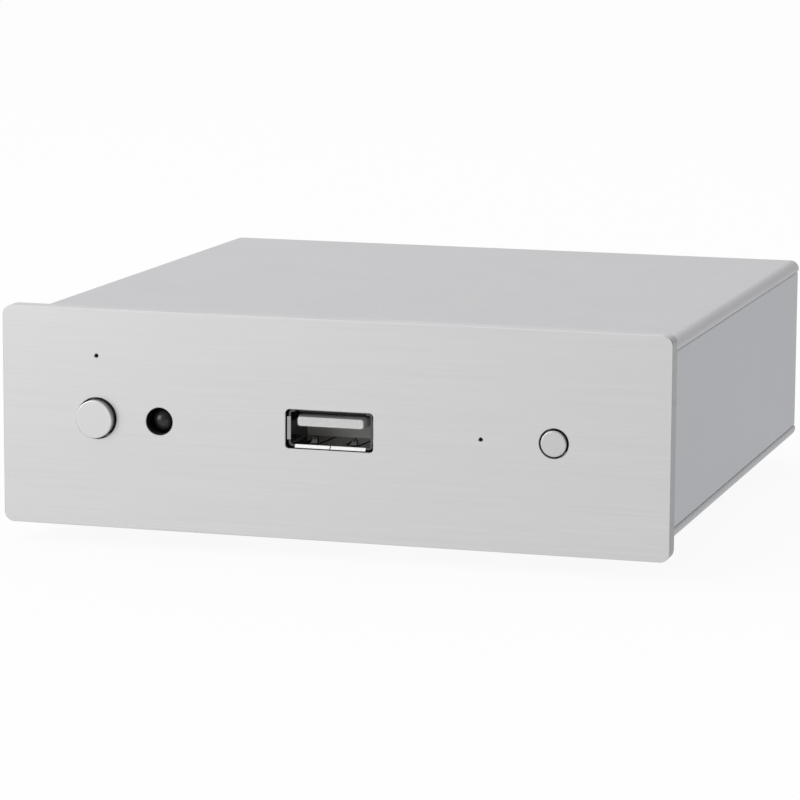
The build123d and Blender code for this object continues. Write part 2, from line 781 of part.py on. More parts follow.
def make_cap(x, radius, proud, edge, flange_radius):
    """A button cap with a flange behind the panel and a socket for its plunger."""
    flange_front_y = panel_back_y + flange_gap
    flange_back_y = flange_front_y + flange_thickness
    with BuildPart() as cap:
        rod(x, panel_middle_z, radius, (panel_front_y - proud, flange_front_y))
        fillet(cap.faces().sort_by(Axis.Y)[0].edges(), edge)
        rod(x, panel_middle_z, flange_radius, (flange_front_y, flange_back_y))
        socket_ends = (flange_back_y - plunger_cap_depth, flange_back_y)
        rod(x, panel_middle_z, plunger_radius, socket_ends, Mode.SUBTRACT)
    return cap


def make_plunger(x):
    """The round pin that carries a cap and slides in its switch."""
    cap_end_y = panel_back_y + flange_gap + flange_thickness - plunger_cap_depth
    body_end_y = panel_back_y + switch_gap + plunger_body_depth
    with BuildPart() as plunger:
        rod(x, panel_middle_z, plunger_radius, (cap_end_y, body_end_y))
    return plunger


def make_switch(x, travel):
    """A switch that stands on the board's front edge and guides its plunger."""
    switch_y = (panel_back_y + switch_gap, panel_back_y + switch_gap + switch_depth)
    switch_z = (board_top_z, 2 * panel_middle_z - board_top_z)
    with BuildPart() as switch:
        block(around(x, switch_width), switch_y, switch_z)
        chamfer(switch.faces().sort_by(Axis.Z)[-1].edges(), switch_edge)
        bore_ends = (switch_y[0], switch_y[0] + plunger_body_depth + travel + switch_end_gap)
        rod(x, panel_middle_z, plunger_radius + plunger_fit, bore_ends, Mode.SUBTRACT)
    return switch


# Power button and its switch
power_button_cap = make_cap(
    power_button_x, power_cap_radius, power_cap_proud, power_cap_edge, power_flange_radius
)
save(power_button_cap, "power_button_cap")
save(make_plunger(power_button_x), "power_switch_plunger")
save(make_switch(power_button_x, power_travel), "power_switch_body")

# Source button and its switch
source_button_cap = make_cap(
    source_button_x, source_cap_radius, source_cap_proud, source_cap_edge, source_flange_radius
)
save(source_button_cap, "source_button_cap")
save(make_plunger(source_button_x), "source_switch_plunger")
save(make_switch(source_button_x, source_travel), "source_switch_body")

# Infrared receiver: a moulded block whose dome looks out through the panel
receiver_face_y = panel_back_y + receiver_gap
receiver_back_y = receiver_face_y + receiver_depth
dome_middle_y = from_front(receiver_dome_setback) + receiver_dome_radius
with BuildPart() as infrared_receiver:
    receiver_z = (board_top_z, 2 * panel_middle_z - board_top_z)
    block(around(receiver_x, receiver_width), (receiver_face_y, receiver_back_y), receiver_z)
    chamfer(infrared_receiver.faces().sort_by(Axis.Z)[-1].edges(), switch_edge)
    rod(receiver_x, panel_middle_z, receiver_dome_radius, (dome_middle_y, receiver_face_y))
    with Locations((receiver_x, dome_middle_y, panel_middle_z)):
        Sphere(receiver_dome_radius)
save(infrared_receiver, "infrared_receiver")

# Receiver leads, bent onto the board
with BuildPart() as infrared_receiver_leads:
    for number in range(3):
        lead_x = around(receiver_x + (number - 1) * receiver_lead_pitch, receiver_lead_width)
        reach_y = (receiver_back_y, receiver_back_y + receiver_lead_reach)
        block(lead_x, reach_y, (board_top_z, board_top_z + receiver_lead_width))
        rise_y = (receiver_back_y, receiver_back_y + receiver_lead_width)
        block(lead_x, rise_y, (board_top_z, board_top_z + receiver_lead_rise))
save(infrared_receiver_leads, "infrared_receiver_leads")


def make_guide(x, z, post_distance):
    """A light guide from behind a pinhole to a post that straddles its lamp."""
    post_y = from_front(post_distance)
    tip_y = panel_back_y - guide_pocket_depth + guide_tip_gap
    post_x_ends = around(x, guide_post_width)
    post_y_ends = around(post_y, guide_post_width)
    post_foot_z = board_top_z + lamp_height + lamp_gap
    with BuildPart() as guide:
        rod(x, z, guide_radius, (tip_y, post_y))
        block(post_x_ends, post_y_ends, (post_foot_z, z + guide_radius))
        leg_gap = lamp_width + 2 * guide_leg_clearance
        for side_x in around(x, leg_gap + guide_leg):
            block(around(side_x, guide_leg), post_y_ends, (board_top_z, post_foot_z + guide_leg))
    return guide


# Light guides and the two lamps under them
save(make_guide(power_button_x, power_light_z, power_guide_post), "power_light_guide")
save(make_guide(source_light_x, panel_middle_z, source_guide_post), "source_light_guide")
lamp_places = ((power_button_x, power_guide_post), (source_light_x, source_guide_post))
with BuildPart() as indicator_lamps:
    for lamp_x, post_distance in lamp_places:
        lamp_z = (board_top_z, board_top_z + lamp_height)
        block(around(lamp_x, lamp_width), around(from_front(post_distance), lamp_depth), lamp_z)
save(indicator_lamps, "indicator_lamps")

# Network jack shell: folded sheet metal, open at the rear
jack_back_y = rear_panel_outer_y + network_jack_proud
jack_front_y = jack_back_y - network_jack_length
jack_top_z = board_top_z + network_jack_height
with BuildPart() as network_jack_shell:
    jack_x = around(network_jack_x, network_jack_width)
    block(jack_x, (jack_front_y, jack_back_y), (board_top_z, jack_top_z))
    jack_inside_width = network_jack_width - 2 * network_jack_wall
    jack_inside_z = (board_top_z, jack_top_z - network_jack_wall)
    jack_inside_y = (jack_front_y + network_jack_wall, jack_back_y)
    block(around(network_jack_x, jack_inside_width), jack_inside_y, jack_inside_z, Mode.SUBTRACT)
save(network_jack_shell, "network_jack_shell")

# Network jack insert, with the plug's cavity, the latch slot and two lamp windows
insert_back_y = jack_back_y - network_insert_setback
jack_cavity_z = board_top_z + network_cavity_rise
jack_cavity_top_z = jack_cavity_z + network_cavity_height
with BuildPart() as network_jack_insert:
    insert_x = around(network_jack_x, jack_inside_width - 2 * network_insert_gap)
    insert_y = (jack_front_y + network_jack_wall + network_insert_gap, insert_back_y)
    block(insert_x, insert_y, (board_top_z, jack_top_z - network_jack_wall - network_insert_gap))
    cavity_y = (insert_back_y - network_cavity_depth, insert_back_y)
    cavity_z = (jack_cavity_z, jack_cavity_top_z)
    block(around(network_jack_x, network_cavity_width), cavity_y, cavity_z, Mode.SUBTRACT)
    latch_y = (insert_back_y - network_latch_depth, insert_back_y)
    latch_z = (jack_cavity_top_z, jack_cavity_top_z + network_latch_height)
    block(around(network_jack_x, network_latch_width), latch_y, latch_z, Mode.SUBTRACT)
    for side in (-1, 1):
        window_x = network_jack_x + side * (jack_inside_width - network_lamp_width) / 2
        window_z = (latch_z[1] - network_lamp_height, latch_z[1])
        window_y = (insert_back_y - network_lamp_depth, insert_back_y)
        block(around(window_x, network_lamp_width), window_y, window_z, Mode.SUBTRACT)
save(network_jack_insert, "network_jack_insert")

# Network jack contacts: eight wires that rise towards the back of the cavity
contact_back_y = insert_back_y - network_contact_setback
with BuildPart() as network_jack_contacts:
    for number in range(8):
        wire_x = network_jack_x + (number - 7 / 2) * network_contact_pitch
        with BuildSketch(Plane.YZ.offset(wire_x - network_contact_width / 2)):
            with BuildLine():
                Polyline(
                    (contact_back_y, jack_cavity_z),
                    (contact_back_y, jack_cavity_z + network_contact_thickness),
                    (contact_back_y - network_contact_length, jack_cavity_z + network_contact_rise),
                    (contact_back_y - network_contact_length, jack_cavity_z),
                    close=True,
                )
            make_face()
        extrude(amount=network_contact_width)
save(network_jack_contacts, "network_jack_contacts")

# Phono housing on the board, with a seat for each barrel
housing_front_y = rear_panel_inner_y - phono_housing_depth
with BuildPart() as phono_socket_housing:
    housing_x = (phono_right_x - phono_housing_side, phono_left_x + phono_housing_side)
    housing_z = (board_top_z, board_top_z + phono_housing_height)
    block(housing_x, (housing_front_y, rear_panel_inner_y), housing_z)
    chamfer(phono_socket_housing.faces().sort_by(Axis.Z)[-1].edges(), socket_edge)
    for phono_x in (phono_left_x, phono_right_x):
        seat_ends = (rear_panel_inner_y - phono_spigot_depth, rear_panel_inner_y)
        rod(phono_x, phono_z, phono_barrel_radius, seat_ends, Mode.SUBTRACT)
save(phono_socket_housing, "phono_socket_housing")


def make_barrel(x):
    """The metal barrel that a phono plug grips, with a collar against the rear panel."""
    barrel_end_y = rear_panel_outer_y + phono_barrel_proud
    barrel_start_y = rear_panel_inner_y - phono_spigot_depth
    with BuildPart() as barrel:
        rod(x, phono_z, phono_barrel_radius, (barrel_start_y, barrel_end_y))
        chamfer(barrel.faces().sort_by(Axis.Y)[-1].edges(), phono_barrel_edge)
        collar_ends = (rear_panel_outer_y, rear_panel_outer_y + phono_collar_thickness)
        rod(x, phono_z, phono_collar_radius, collar_ends)
        rod(x, phono_z, phono_barrel_bore, (barrel_start_y, barrel_end_y), Mode.SUBTRACT)
    return barrel


def make_insulator(x):
    """The coloured insulator inside a phono barrel, with the hole for a plug's pin."""
    face_y = rear_panel_outer_y + phono_barrel_proud - phono_insulator_setback
    start_y = rear_panel_inner_y - phono_spigot_depth
    with BuildPart() as insulator:
        rod(x, phono_z, phono_barrel_bore, (start_y, face_y))
        rod(x, phono_z, phono_pin_hole_radius, (face_y - phono_pin_hole_depth, face_y), Mode.SUBTRACT)
    return insulator


# Phono barrels and insulators
for phono_x, channel in ((phono_left_x, "left"), (phono_right_x, "right")):
    save(make_barrel(phono_x), f"phono_{channel}_barrel")
    save(make_insulator(phono_x), f"phono_{channel}_insulator")

# Optical socket body: a cavity behind a front wall, with the light source at its end
optical_back_y = rear_panel_outer_y + optical_proud
optical_front_y = optical_back_y - optical_length
cavity_low_z, cavity_high_z = around(optical_z, optical_cavity_height)
pivot_z = cavity_high_z - shutter_pivot_drop
pivot_y = optical_back_y - optical_front_wall - shutter_gap - shutter_knuckle_radius
with BuildPart() as optical_socket_body:
    optical_z_ends = (board_top_z, board_top_z + optical_height)
    block(around(optical_x, optical_width), (optical_front_y, optical_back_y), optical_z_ends)
    chamfer(optical_socket_body.faces().sort_by(Axis.Y)[-1].edges(), optical_edge)
    cavity_end_y = optical_back_y - optical_cavity_depth
    cavity_y = (cavity_end_y, optical_back_y - optical_front_wall)
    block(around(optical_x, optical_cavity_width), cavity_y, (cavity_low_z, cavity_high_z), Mode.SUBTRACT)
    mouth_y = (optical_back_y - optical_front_wall, optical_back_y)
    mouth_z = (cavity_low_z + optical_mouth_ledge, cavity_high_z)
    block(around(optical_x, optical_mouth_width), mouth_y, mouth_z, Mode.SUBTRACT)
    lens_z = optical_z - optical_mouth_ledge
    rod(optical_x, lens_z, optical_lens_radius, (cavity_end_y, cavity_end_y + optical_lens_length))
    seat = Plane(origin=(optical_x, pivot_y, pivot_z), x_dir=(0, 1, 0), z_dir=(1, 0, 0))
    with Locations(seat):
        Cylinder(shutter_pin_radius, optical_cavity_width + 2 * shutter_pin_seat, mode=Mode.SUBTRACT)
save(optical_socket_body, "optical_socket_body")

# Optical shutter: it hangs from its pin and swings inwards when a plug pushes it
shutter_foot_z = cavity_low_z + shutter_foot_gap
with BuildPart() as optical_shutter:
    shutter_y = around(pivot_y + shutter_knuckle_radius - shutter_thickness / 2, shutter_thickness)
    block(around(optical_x, shutter_width), shutter_y, (shutter_foot_z, pivot_z))
    with Locations(seat):
        Cylinder(shutter_knuckle_radius, shutter_width)
        Cylinder(shutter_pin_radius + shutter_pin_fit, shutter_width, mode=Mode.SUBTRACT)
save(optical_shutter, "optical_shutter")

# Shutter pin, held in the socket's side walls
with BuildPart() as optical_shutter_pin:
    with Locations(seat):
        Cylinder(shutter_pin_radius, optical_cavity_width + 2 * shutter_pin_seat)
save(optical_shutter_pin, "optical_shutter_pin")

# Power inlet body, with a round nose in the rear panel
inlet_back_y = rear_panel_inner_y
inlet_nose_y = inlet_back_y + inlet_nose_length
inlet_front_y = inlet_nose_y - inlet_length
with BuildPart() as power_inlet_body:
    inlet_z_ends = (board_top_z, board_top_z + inlet_height)
    block(around(inlet_x, inlet_width), (inlet_front_y, inlet_back_y), inlet_z_ends)
    chamfer(power_inlet_body.faces().sort_by(Axis.Z)[-1].edges(), socket_edge)
    rod(inlet_x, inlet_z, inlet_nose_radius, (inlet_back_y, inlet_nose_y))
    chamfer(power_inlet_body.faces().sort_by(Axis.Y)[-1].edges(), socket_edge)
    bore_ends = (inlet_nose_y - inlet_bore_depth, inlet_nose_y)
    rod(inlet_x, inlet_z, inlet_bore_radius, bore_ends, Mode.SUBTRACT)
save(power_inlet_body, "power_inlet_body")

# Power inlet's centre pin
with BuildPart() as power_inlet_pin:
    pin_start_y = inlet_nose_y - inlet_bore_depth
    rod(inlet_x, inlet_z, inlet_pin_radius, (pin_start_y, pin_start_y + inlet_pin_length))
    fillet(power_inlet_pin.faces().sort_by(Axis.Y)[-1].edges(), inlet_pin_radius / 2)
save(power_inlet_pin, "power_inlet_pin")

# Antenna socket body: hexagonal flange inside, threaded barrel outside, ferrule for its lead
thread_end_y = rear_panel_outer_y + antenna_thread_proud
antenna_flange_y = rear_panel_inner_y - antenna_hex_thickness
washer_end_y = rear_panel_outer_y + antenna_washer_thickness
nut_end_y = washer_end_y + antenna_nut_thickness
ferrule_start_y = antenna_flange_y - antenna_ferrule_length
with BuildPart() as antenna_socket_body:
    with BuildSketch(facing_front(rear_panel_inner_y)):
        with Locations((antenna_x, antenna_z)):
            RegularPolygon(antenna_hex_across / 2, 6, major_radius=False)
    extrude(amount=antenna_hex_thickness)
    rod(antenna_x, antenna_z, antenna_thread_radius, (rear_panel_inner_y, thread_end_y))
    chamfer(antenna_socket_body.faces().sort_by(Axis.Y)[-1].edges(), socket_edge)
    rod(antenna_x, antenna_z, antenna_ferrule_radius, (ferrule_start_y, antenna_flange_y))
    rod(antenna_x, antenna_z, antenna_bore_radius, (rear_panel_inner_y, thread_end_y), Mode.SUBTRACT)
save(antenna_socket_body, "antenna_socket_body")

# Antenna socket core
with BuildPart() as antenna_socket_core:
    core_face_y = thread_end_y - antenna_core_setback
    rod(antenna_x, antenna_z, antenna_bore_radius, (rear_panel_inner_y, core_face_y))
    hole_ends = (core_face_y - antenna_core_hole_depth, core_face_y)
    rod(antenna_x, antenna_z, antenna_core_hole_radius, hole_ends, Mode.SUBTRACT)
save(antenna_socket_core, "antenna_socket_core")

# Antenna socket washer and nut
antenna_clear_radius = antenna_thread_radius + antenna_nut_fit
with BuildPart() as antenna_socket_washer:
    rod(antenna_x, antenna_z, antenna_washer_radius, (rear_panel_outer_y, washer_end_y))
    rod(antenna_x, antenna_z, antenna_clear_radius, (rear_panel_outer_y, washer_end_y), Mode.SUBTRACT)
save(antenna_socket_washer, "antenna_socket_washer")
with BuildPart() as antenna_socket_nut:
    with BuildSketch(facing_front(nut_end_y)):
        with Locations((antenna_x, antenna_z)):
            RegularPolygon(antenna_hex_across / 2, 6, major_radius=False)
            Circle(antenna_clear_radius, mode=Mode.SUBTRACT)
    extrude(amount=antenna_nut_thickness)
save(antenna_socket_nut, "antenna_socket_nut")

# Radio module board on its two headers
module_bottom_z = board_top_z + header_height
module_top_z = module_bottom_z + module_thickness
module_y = (from_front(module_front), from_front(module_front) + module_depth)
module_middle_y = (module_y[0] + module_y[1]) / 2
module_side_x = board_width / 2 - module_side_gap
module_x = module_side_x - module_width / 2
with BuildPart() as radio_module_board:
    with BuildSketch(Plane.XY.offset(module_bottom_z)):
        with Locations((module_x, module_middle_y)):
            RectangleRounded(module_width, module_depth, module_corner_radius)
    extrude(amount=module_thickness)
save(radio_module_board, "radio_module_board")

# Headers between the two boards, notched between their pins
with BuildPart() as radio_module_headers:
    header_length = module_depth - 2 * header_edge
    for header_x in around(module_x, module_width - header_width - 2 * header_edge):
        header_y = (module_y[0] + header_edge, module_y[1] - header_edge)
        block(around(header_x, header_width), header_y, (board_top_z, module_bottom_z))
        for number in range(1, header_pins):
            notch_y = around(header_y[0] + number * header_length / header_pins, header_pin_notch)
            for notch_x in around(header_x, header_width):
                notch_x_ends = around(notch_x, header_pin_notch)
                block(notch_x_ends, notch_y, (board_top_z, module_bottom_z), Mode.SUBTRACT)
save(radio_module_headers, "radio_module_headers")

# Shield can over the module's chips
with BuildPart() as radio_module_shield:
    shield_x = around(module_x, shield_width)
    shield_y = around(module_middle_y, shield_depth)
    block(shield_x, shield_y, (module_top_z, module_top_z + shield_height))
    fillet(radio_module_shield.faces().sort_by(Axis.Z)[-1].edges(), shield_edge_radius)
    hollow_x = around(module_x, shield_width - 2 * shield_wall)
    hollow_y = around(module_middle_y, shield_depth - 2 * shield_wall)
    hollow_z = (module_top_z, module_top_z + shield_height - shield_edge_radius)
    block(hollow_x, hollow_y, hollow_z, Mode.SUBTRACT)
save(radio_module_shield, "radio_module_shield")

# Plug of the antenna lead, on the module
lead_plug_x = module_side_x - lead_plug_side
lead_plug_y = module_y[1] - lead_plug_rear
lead_plug_top_z = module_top_z + lead_plug_height
with BuildPart() as antenna_lead_plug:
    post(lead_plug_x, lead_plug_y, lead_plug_radius, (module_top_z, lead_plug_top_z))
save(antenna_lead_plug, "antenna_lead_plug")

# Antenna lead: up from its plug, over the module's edge and back to the ferrule
with BuildPart() as antenna_lead:
    lead_top_z = antenna_z + lead_rise
    with BuildLine() as lead_path:
        FilletPolyline(
            (lead_plug_x, lead_plug_y, lead_plug_top_z),
            (lead_plug_x, lead_plug_y, lead_top_z),
            (antenna_x, lead_plug_y + lead_cross_run, lead_top_z),
            (antenna_x, ferrule_start_y - lead_end_run, antenna_z),
            (antenna_x, ferrule_start_y, antenna_z),
            radius=lead_bend_radius,
        )
    with BuildSketch(Plane(origin=(lead_plug_x, lead_plug_y, lead_plug_top_z), z_dir=(0, 0, 1))):
        Circle(lead_radius)
    sweep(path=lead_path.wires()[0])
save(antenna_lead, "antenna_lead")

# Processor and its finned heat sink
processor_x, processor_y = on_board(processor_share)
processor_top_z = board_top_z + processor_height
with BuildPart() as processor_chip:
    chip_x = around(processor_x, processor_side)
    chip_y = around(processor_y, processor_side)
    block(chip_x, chip_y, (board_top_z, processor_top_z))
    chamfer(processor_chip.faces().sort_by(Axis.Z)[-1].edges(), chip_edge)
save(processor_chip, "processor_chip")
with BuildPart() as heat_sink:
    sink_x = around(processor_x, heat_sink_side)
    sink_y = around(processor_y, heat_sink_side)
    block(sink_x, sink_y, (processor_top_z, processor_top_z + heat_sink_base))
    fin_z = (processor_top_z + heat_sink_base, processor_top_z + heat_sink_height)
    for number in range(heat_sink_fins):
        fin_share = number / (heat_sink_fins - 1) - 1 / 2
        fin_x = processor_x + fin_share * (heat_sink_side - heat_sink_fin)
        block(around(fin_x, heat_sink_fin), sink_y, fin_z)
save(heat_sink, "heat_sink")


def make_chip(share, width, depth, height):
    """A flat moulded chip on the main board."""
    chip_x, chip_y = on_board(share)
    with BuildPart() as chip:
        block(around(chip_x, width), around(chip_y, depth), (board_top_z, board_top_z + height))
        chamfer(chip.faces().sort_by(Axis.Z)[-1].edges(), chip_edge)
    return chip


# Audio chips
audio_converter_chip = make_chip(converter_share, converter_side, converter_side, converter_height)
save(audio_converter_chip, "audio_converter_chip")
output_amplifier_chip = make_chip(amplifier_share, amplifier_width, amplifier_depth, amplifier_height)
save(output_amplifier_chip, "output_amplifier_chip")

# Voltage regulators with their cooling tabs
with BuildPart() as voltage_regulators:
    for share in regulator_shares:
        part_x, part_y = on_board(share)
        body_y = around(part_y, regulator_depth)
        tab_y = (body_y[0] - regulator_tab, body_y[0])
        block(around(part_x, regulator_width), body_y, (board_top_z, board_top_z + regulator_height))
        block(around(part_x, regulator_width), tab_y, (board_top_z, board_top_z + regulator_tab_height))
save(voltage_regulators, "voltage_regulators")

# Clock crystals
with BuildPart() as clock_crystals:
    for share in crystal_shares:
        part_x, part_y = on_board(share)
        crystal_z = (board_top_z, board_top_z + crystal_height)
        block(around(part_x, crystal_width), around(part_y, crystal_depth), crystal_z)
    fillet(clock_crystals.edges().filter_by(Axis.Z), crystal_edge)
save(clock_crystals, "clock_crystals")


def make_capacitors(shares, radius, height):
    """A group of upright can capacitors, each with a square foot and a crimped groove."""
    with BuildPart() as capacitors:
        for share in shares:
            part_x, part_y = on_board(share)
            foot_z = (board_top_z, board_top_z + capacitor_base)
            block(around(part_x, 2 * radius), around(part_y, 2 * radius), foot_z)
            groove_z = (foot_z[1], foot_z[1] + capacitor_groove)
            post(part_x, part_y, radius - capacitor_groove, groove_z)
            post(part_x, part_y, radius, (groove_z[1], board_top_z + height))
        top_rims = capacitors.edges().filter_by(GeomType.CIRCLE).group_by(Axis.Z)[-1]
        fillet(top_rims, capacitor_edge)
    return capacitors


# Capacitors
power_capacitors = make_capacitors(power_capacitor_shares, power_capacitor_radius, power_capacitor_height)
save(power_capacitors, "power_capacitors")
audio_capacitors = make_capacitors(audio_capacitor_shares, audio_capacitor_radius, audio_capacitor_height)
save(audio_capacitors, "audio_capacitors")

# Power inductors with a round core on top
with BuildPart() as power_inductors:
    for share in inductor_shares:
        part_x, part_y = on_board(share)
        inductor_z = (board_top_z, board_top_z + inductor_height)
        block(around(part_x, inductor_side), around(part_y, inductor_side), inductor_z)
    chamfer(power_inductors.edges().filter_by(Axis.Z), inductor_corner)
    for share in inductor_shares:
        recess_z = (board_top_z + inductor_height - inductor_core_recess, board_top_z + inductor_height)
        post(*on_board(share), inductor_core_radius, recess_z, Mode.SUBTRACT)
save(power_inductors, "power_inductors")
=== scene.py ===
import math
import bmesh
import bpy
from mathutils import Matrix, Vector


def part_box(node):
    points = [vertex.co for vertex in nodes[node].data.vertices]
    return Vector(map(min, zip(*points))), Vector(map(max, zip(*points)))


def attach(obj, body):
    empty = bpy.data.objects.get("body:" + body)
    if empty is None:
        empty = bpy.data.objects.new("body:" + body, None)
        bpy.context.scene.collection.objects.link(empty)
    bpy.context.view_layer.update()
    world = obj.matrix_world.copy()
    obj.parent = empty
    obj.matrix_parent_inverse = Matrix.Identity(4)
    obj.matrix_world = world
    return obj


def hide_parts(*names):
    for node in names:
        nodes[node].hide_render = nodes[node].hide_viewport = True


# Network music streamer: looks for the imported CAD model.
# Everything is in metres, with X to the right, Y to the back and Z up.
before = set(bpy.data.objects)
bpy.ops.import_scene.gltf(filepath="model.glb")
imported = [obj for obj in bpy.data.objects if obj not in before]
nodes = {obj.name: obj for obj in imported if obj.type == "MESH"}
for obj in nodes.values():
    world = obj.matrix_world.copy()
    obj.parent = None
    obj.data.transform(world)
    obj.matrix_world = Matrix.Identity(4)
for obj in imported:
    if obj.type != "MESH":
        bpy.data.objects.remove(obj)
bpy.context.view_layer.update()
print("frame loaded:", len(nodes), "nodes")


# Colours are sRGB hex values, as on a paint card; the numbers are those of the sRGB curve
def toLinear(hexColour):
    channels = [int(hexColour[i:i + 2], 16) / 255 for i in (1, 3, 5)]
    linear = [c / 12.92 if c <= 0.04045 else ((c + 0.055) / 1.055) ** 2.4 for c in channels]
    return (*linear, 1)


def perMetre(millimetres):  # how often a pattern of that size repeats in a metre
    return 1000 / millimetres


def addNode(tree, kind, settings=None, links=None):
    node = tree.nodes.new(kind)
    for name, value in (settings or {}).items():
        if isinstance(name, int) or name in node.inputs:
            node.inputs[name].default_value = value
        else:
            setattr(node, name, value)
    for name, source in (links or {}).items():
        tree.links.new(source, node.inputs[name])
    return node


mixFirst, mixSecond, mixResult = 6, 7, 2  # the places of a Mix node's colour sockets
patternSpan = {"From Min": 0.3, "From Max": 0.7}  # most of a pattern's values lie between these


def startMaterial(name, surfaceSettings):
    material = bpy.data.materials.new(name)
    material.use_nodes = True
    tree = material.node_tree
    tree.nodes.clear()
    place = addNode(tree, "ShaderNodeTexCoord").outputs["Object"]
    surface = addNode(tree, "ShaderNodeBsdfPrincipled", surfaceSettings)
    addNode(tree, "ShaderNodeOutputMaterial", links={"Surface": surface.outputs["BSDF"]})
    return material, tree, place, surface


# The share picks between a look's two near colours, and the pattern gives its gloss and relief
def applyLook(tree, surface, look, share, pattern):
    dark, light = toLinear(look["dark"]), toLinear(look["light"])
    colour = addNode(tree, "ShaderNodeMix", {"data_type": "RGBA", mixFirst: dark, mixSecond: light},
                     {0: share}).outputs[mixResult]
    glossiest, dullest = look["roughness"]
    gloss = addNode(tree, "ShaderNodeMapRange", {**patternSpan, "To Min": glossiest, "To Max": dullest},
                    {"Value": pattern}).outputs["Result"]
    relief = addNode(tree, "ShaderNodeBump",
                     {"Distance": look["relief"] / 1000, "Strength": look.get("reliefStrength", 1)},
                     {"Height": pattern}).outputs["Normal"]
    for source, socket in ((colour, "Base Color"), (gloss, "Roughness"), (relief, "Normal")):
        tree.links.new(source, surface.inputs[socket])
    return colour


# Sizes in the looks are in mm. Real grain is often too fine to show, so it is drawn coarser

# Clear anodised aluminium plate, brushed sideways: faint hairlines, satin gloss, greyer cut edges, and
# painted shade on the side edges
brushedPlate = {
    "dark": "#C7C7C7", "light": "#CDCDCD", "roughness": (0.34, 0.42), "relief": 0.002,
    "lineWidth": 0.24, "lineLength": 30,  # real hairlines are near 0.05 wide, too fine to show
    "lineDetail": 4, "lineBreaks": 0.7,
    "cutEdgesAndSideShade": {  # the normal's size along an axis where a cut's colour starts and is full
        # Y: greyer cut edges; X: the side edges, painted darker still as painted shade
        "Y": (0.75, 0.5, "#B4B5B7"), "X": (0.5, 0.9, "#8B8C8E"),
    },
}


def brushedAnodisedAluminium():
    look = brushedPlate
    material, tree, place, surface = startMaterial("brushed anodised aluminium", {"Metallic": 1})
    stretch = [perMetre(look[size]) for size in ("lineLength", "lineLength", "lineWidth")]
    along = addNode(tree, "ShaderNodeMapping", {"Scale": stretch}, {"Vector": place}).outputs["Vector"]
    lines = addNode(tree, "ShaderNodeTexNoise",
                    {"Scale": 1, "Detail": look["lineDetail"], "Roughness": look["lineBreaks"]},
                    {"Vector": along}).outputs["Fac"]
    share = addNode(tree, "ShaderNodeMapRange", patternSpan, {"Value": lines}).outputs["Result"]
    colour = applyLook(tree, surface, look, share, lines)
    normal = addNode(tree, "ShaderNodeTexCoord").outputs["Normal"]
    facing = addNode(tree, "ShaderNodeSeparateXYZ", None, {"Vector": normal})
    # cut edges take a greyer colour; the side-facing ones take a darker one as painted shade
    for axis, (start, end, cutAndShadeHex) in look["cutEdgesAndSideShade"].items():
        size = addNode(tree, "ShaderNodeMath", {"operation": "ABSOLUTE"},
                       {0: facing.outputs[axis]}).outputs[0]
        cut = addNode(tree, "ShaderNodeMapRange", {"From Min": start, "From Max": end},
                      {"Value": size}).outputs["Result"]
        colour = addNode(tree, "ShaderNodeMix", {"data_type": "RGBA", mixSecond: toLinear(cutAndShadeHex)},
                         {0: cut, mixFirst: colour}).outputs[mixResult]
    tree.links.new(colour, surface.inputs["Base Color"])
    return material


metalDetail = {"grain": 2, "clouds": 3}  # how many ever finer layers each pattern has


# Blasted, satin or plated metal: an even grain of tiny pits, with slow soft clouds
def grainedMetal(name, look):
    material, tree, place, surface = startMaterial(name, {"Metallic": 1})
    grain, clouds = [
        addNode(tree, "ShaderNodeTexNoise", {"Scale": perMetre(look[pattern]), "Detail": detail},
                {"Vector": place}).outputs["Fac"]
        for pattern, detail in metalDetail.items()]
    both = addNode(tree, "ShaderNodeMath", {"operation": "MULTIPLY_ADD", 1: look["cloudShare"]},
                   {0: clouds, 2: grain}).outputs[0]
    middle = addNode(tree, "ShaderNodeMath", {"operation": "DIVIDE", 1: 1 + look["cloudShare"]},
                     {0: both}).outputs[0]
    share = addNode(tree, "ShaderNodeMapRange", patternSpan, {"Value": middle}).outputs["Result"]
    applyLook(tree, surface, look, share, grain)
    return material


# Bead-blasted anodised cover: real pits near 0.1 mm scatter the light, so it looks soft and even
blastedCover = {
    "dark": "#B5B5B7", "light": "#C3C3C5", "grain": 0.5, "clouds": 12, "cloudShare": 0.18,
    "roughness": (0.46, 0.56), "relief": 0.012,
}
# The base has the cover's finish, a little darker and cloudier
blastedBase = {
    "dark": "#A9AAAC", "light": "#B5B6B8", "grain": 0.5, "clouds": 14, "cloudShare": 0.35,
    "roughness": (0.46, 0.56), "relief": 0.012,
}
# Satin anodised walls: a cool grey, darkened as painted shade for the dimmer light on the sides, that
# hardly shows its grain
paintedShadeWall = {
    "dark": "#ABACB1", "light": "#B4B5BA", "grain": 0.4, "clouds": 12, "cloudShare": 0.2,
    "roughness": (0.42, 0.5), "relief": 0.003,
}
# Satin anodised rear plate: paler than the walls, with slow clouds
rearPlate = {
    "dark": "#B6B7B9", "light": "#BEBFC1", "grain": 0.3, "clouds": 20, "cloudShare": 0.5,
    "roughness": (0.4, 0.48), "relief": 0.003,
}
# Turned anodised cap: as pale and as glossy as the panel, without its hairlines
turnedCap = {
    "dark": "#C7C7C7", "light": "#CECECE", "grain": 0.12, "clouds": 5, "cloudShare": 0.3,
    "roughness": (0.34, 0.42), "relief": 0.002,
}
# The small cap is turned too; its colour is darkened as painted shade for its recess, and it is
# slightly duller
paintedShadeCap = {
    "dark": "#BEBEBE", "light": "#C5C5C5", "grain": 0.12, "clouds": 5, "cloudShare": 0.3,
    "roughness": (0.38, 0.46), "relief": 0.002,
}
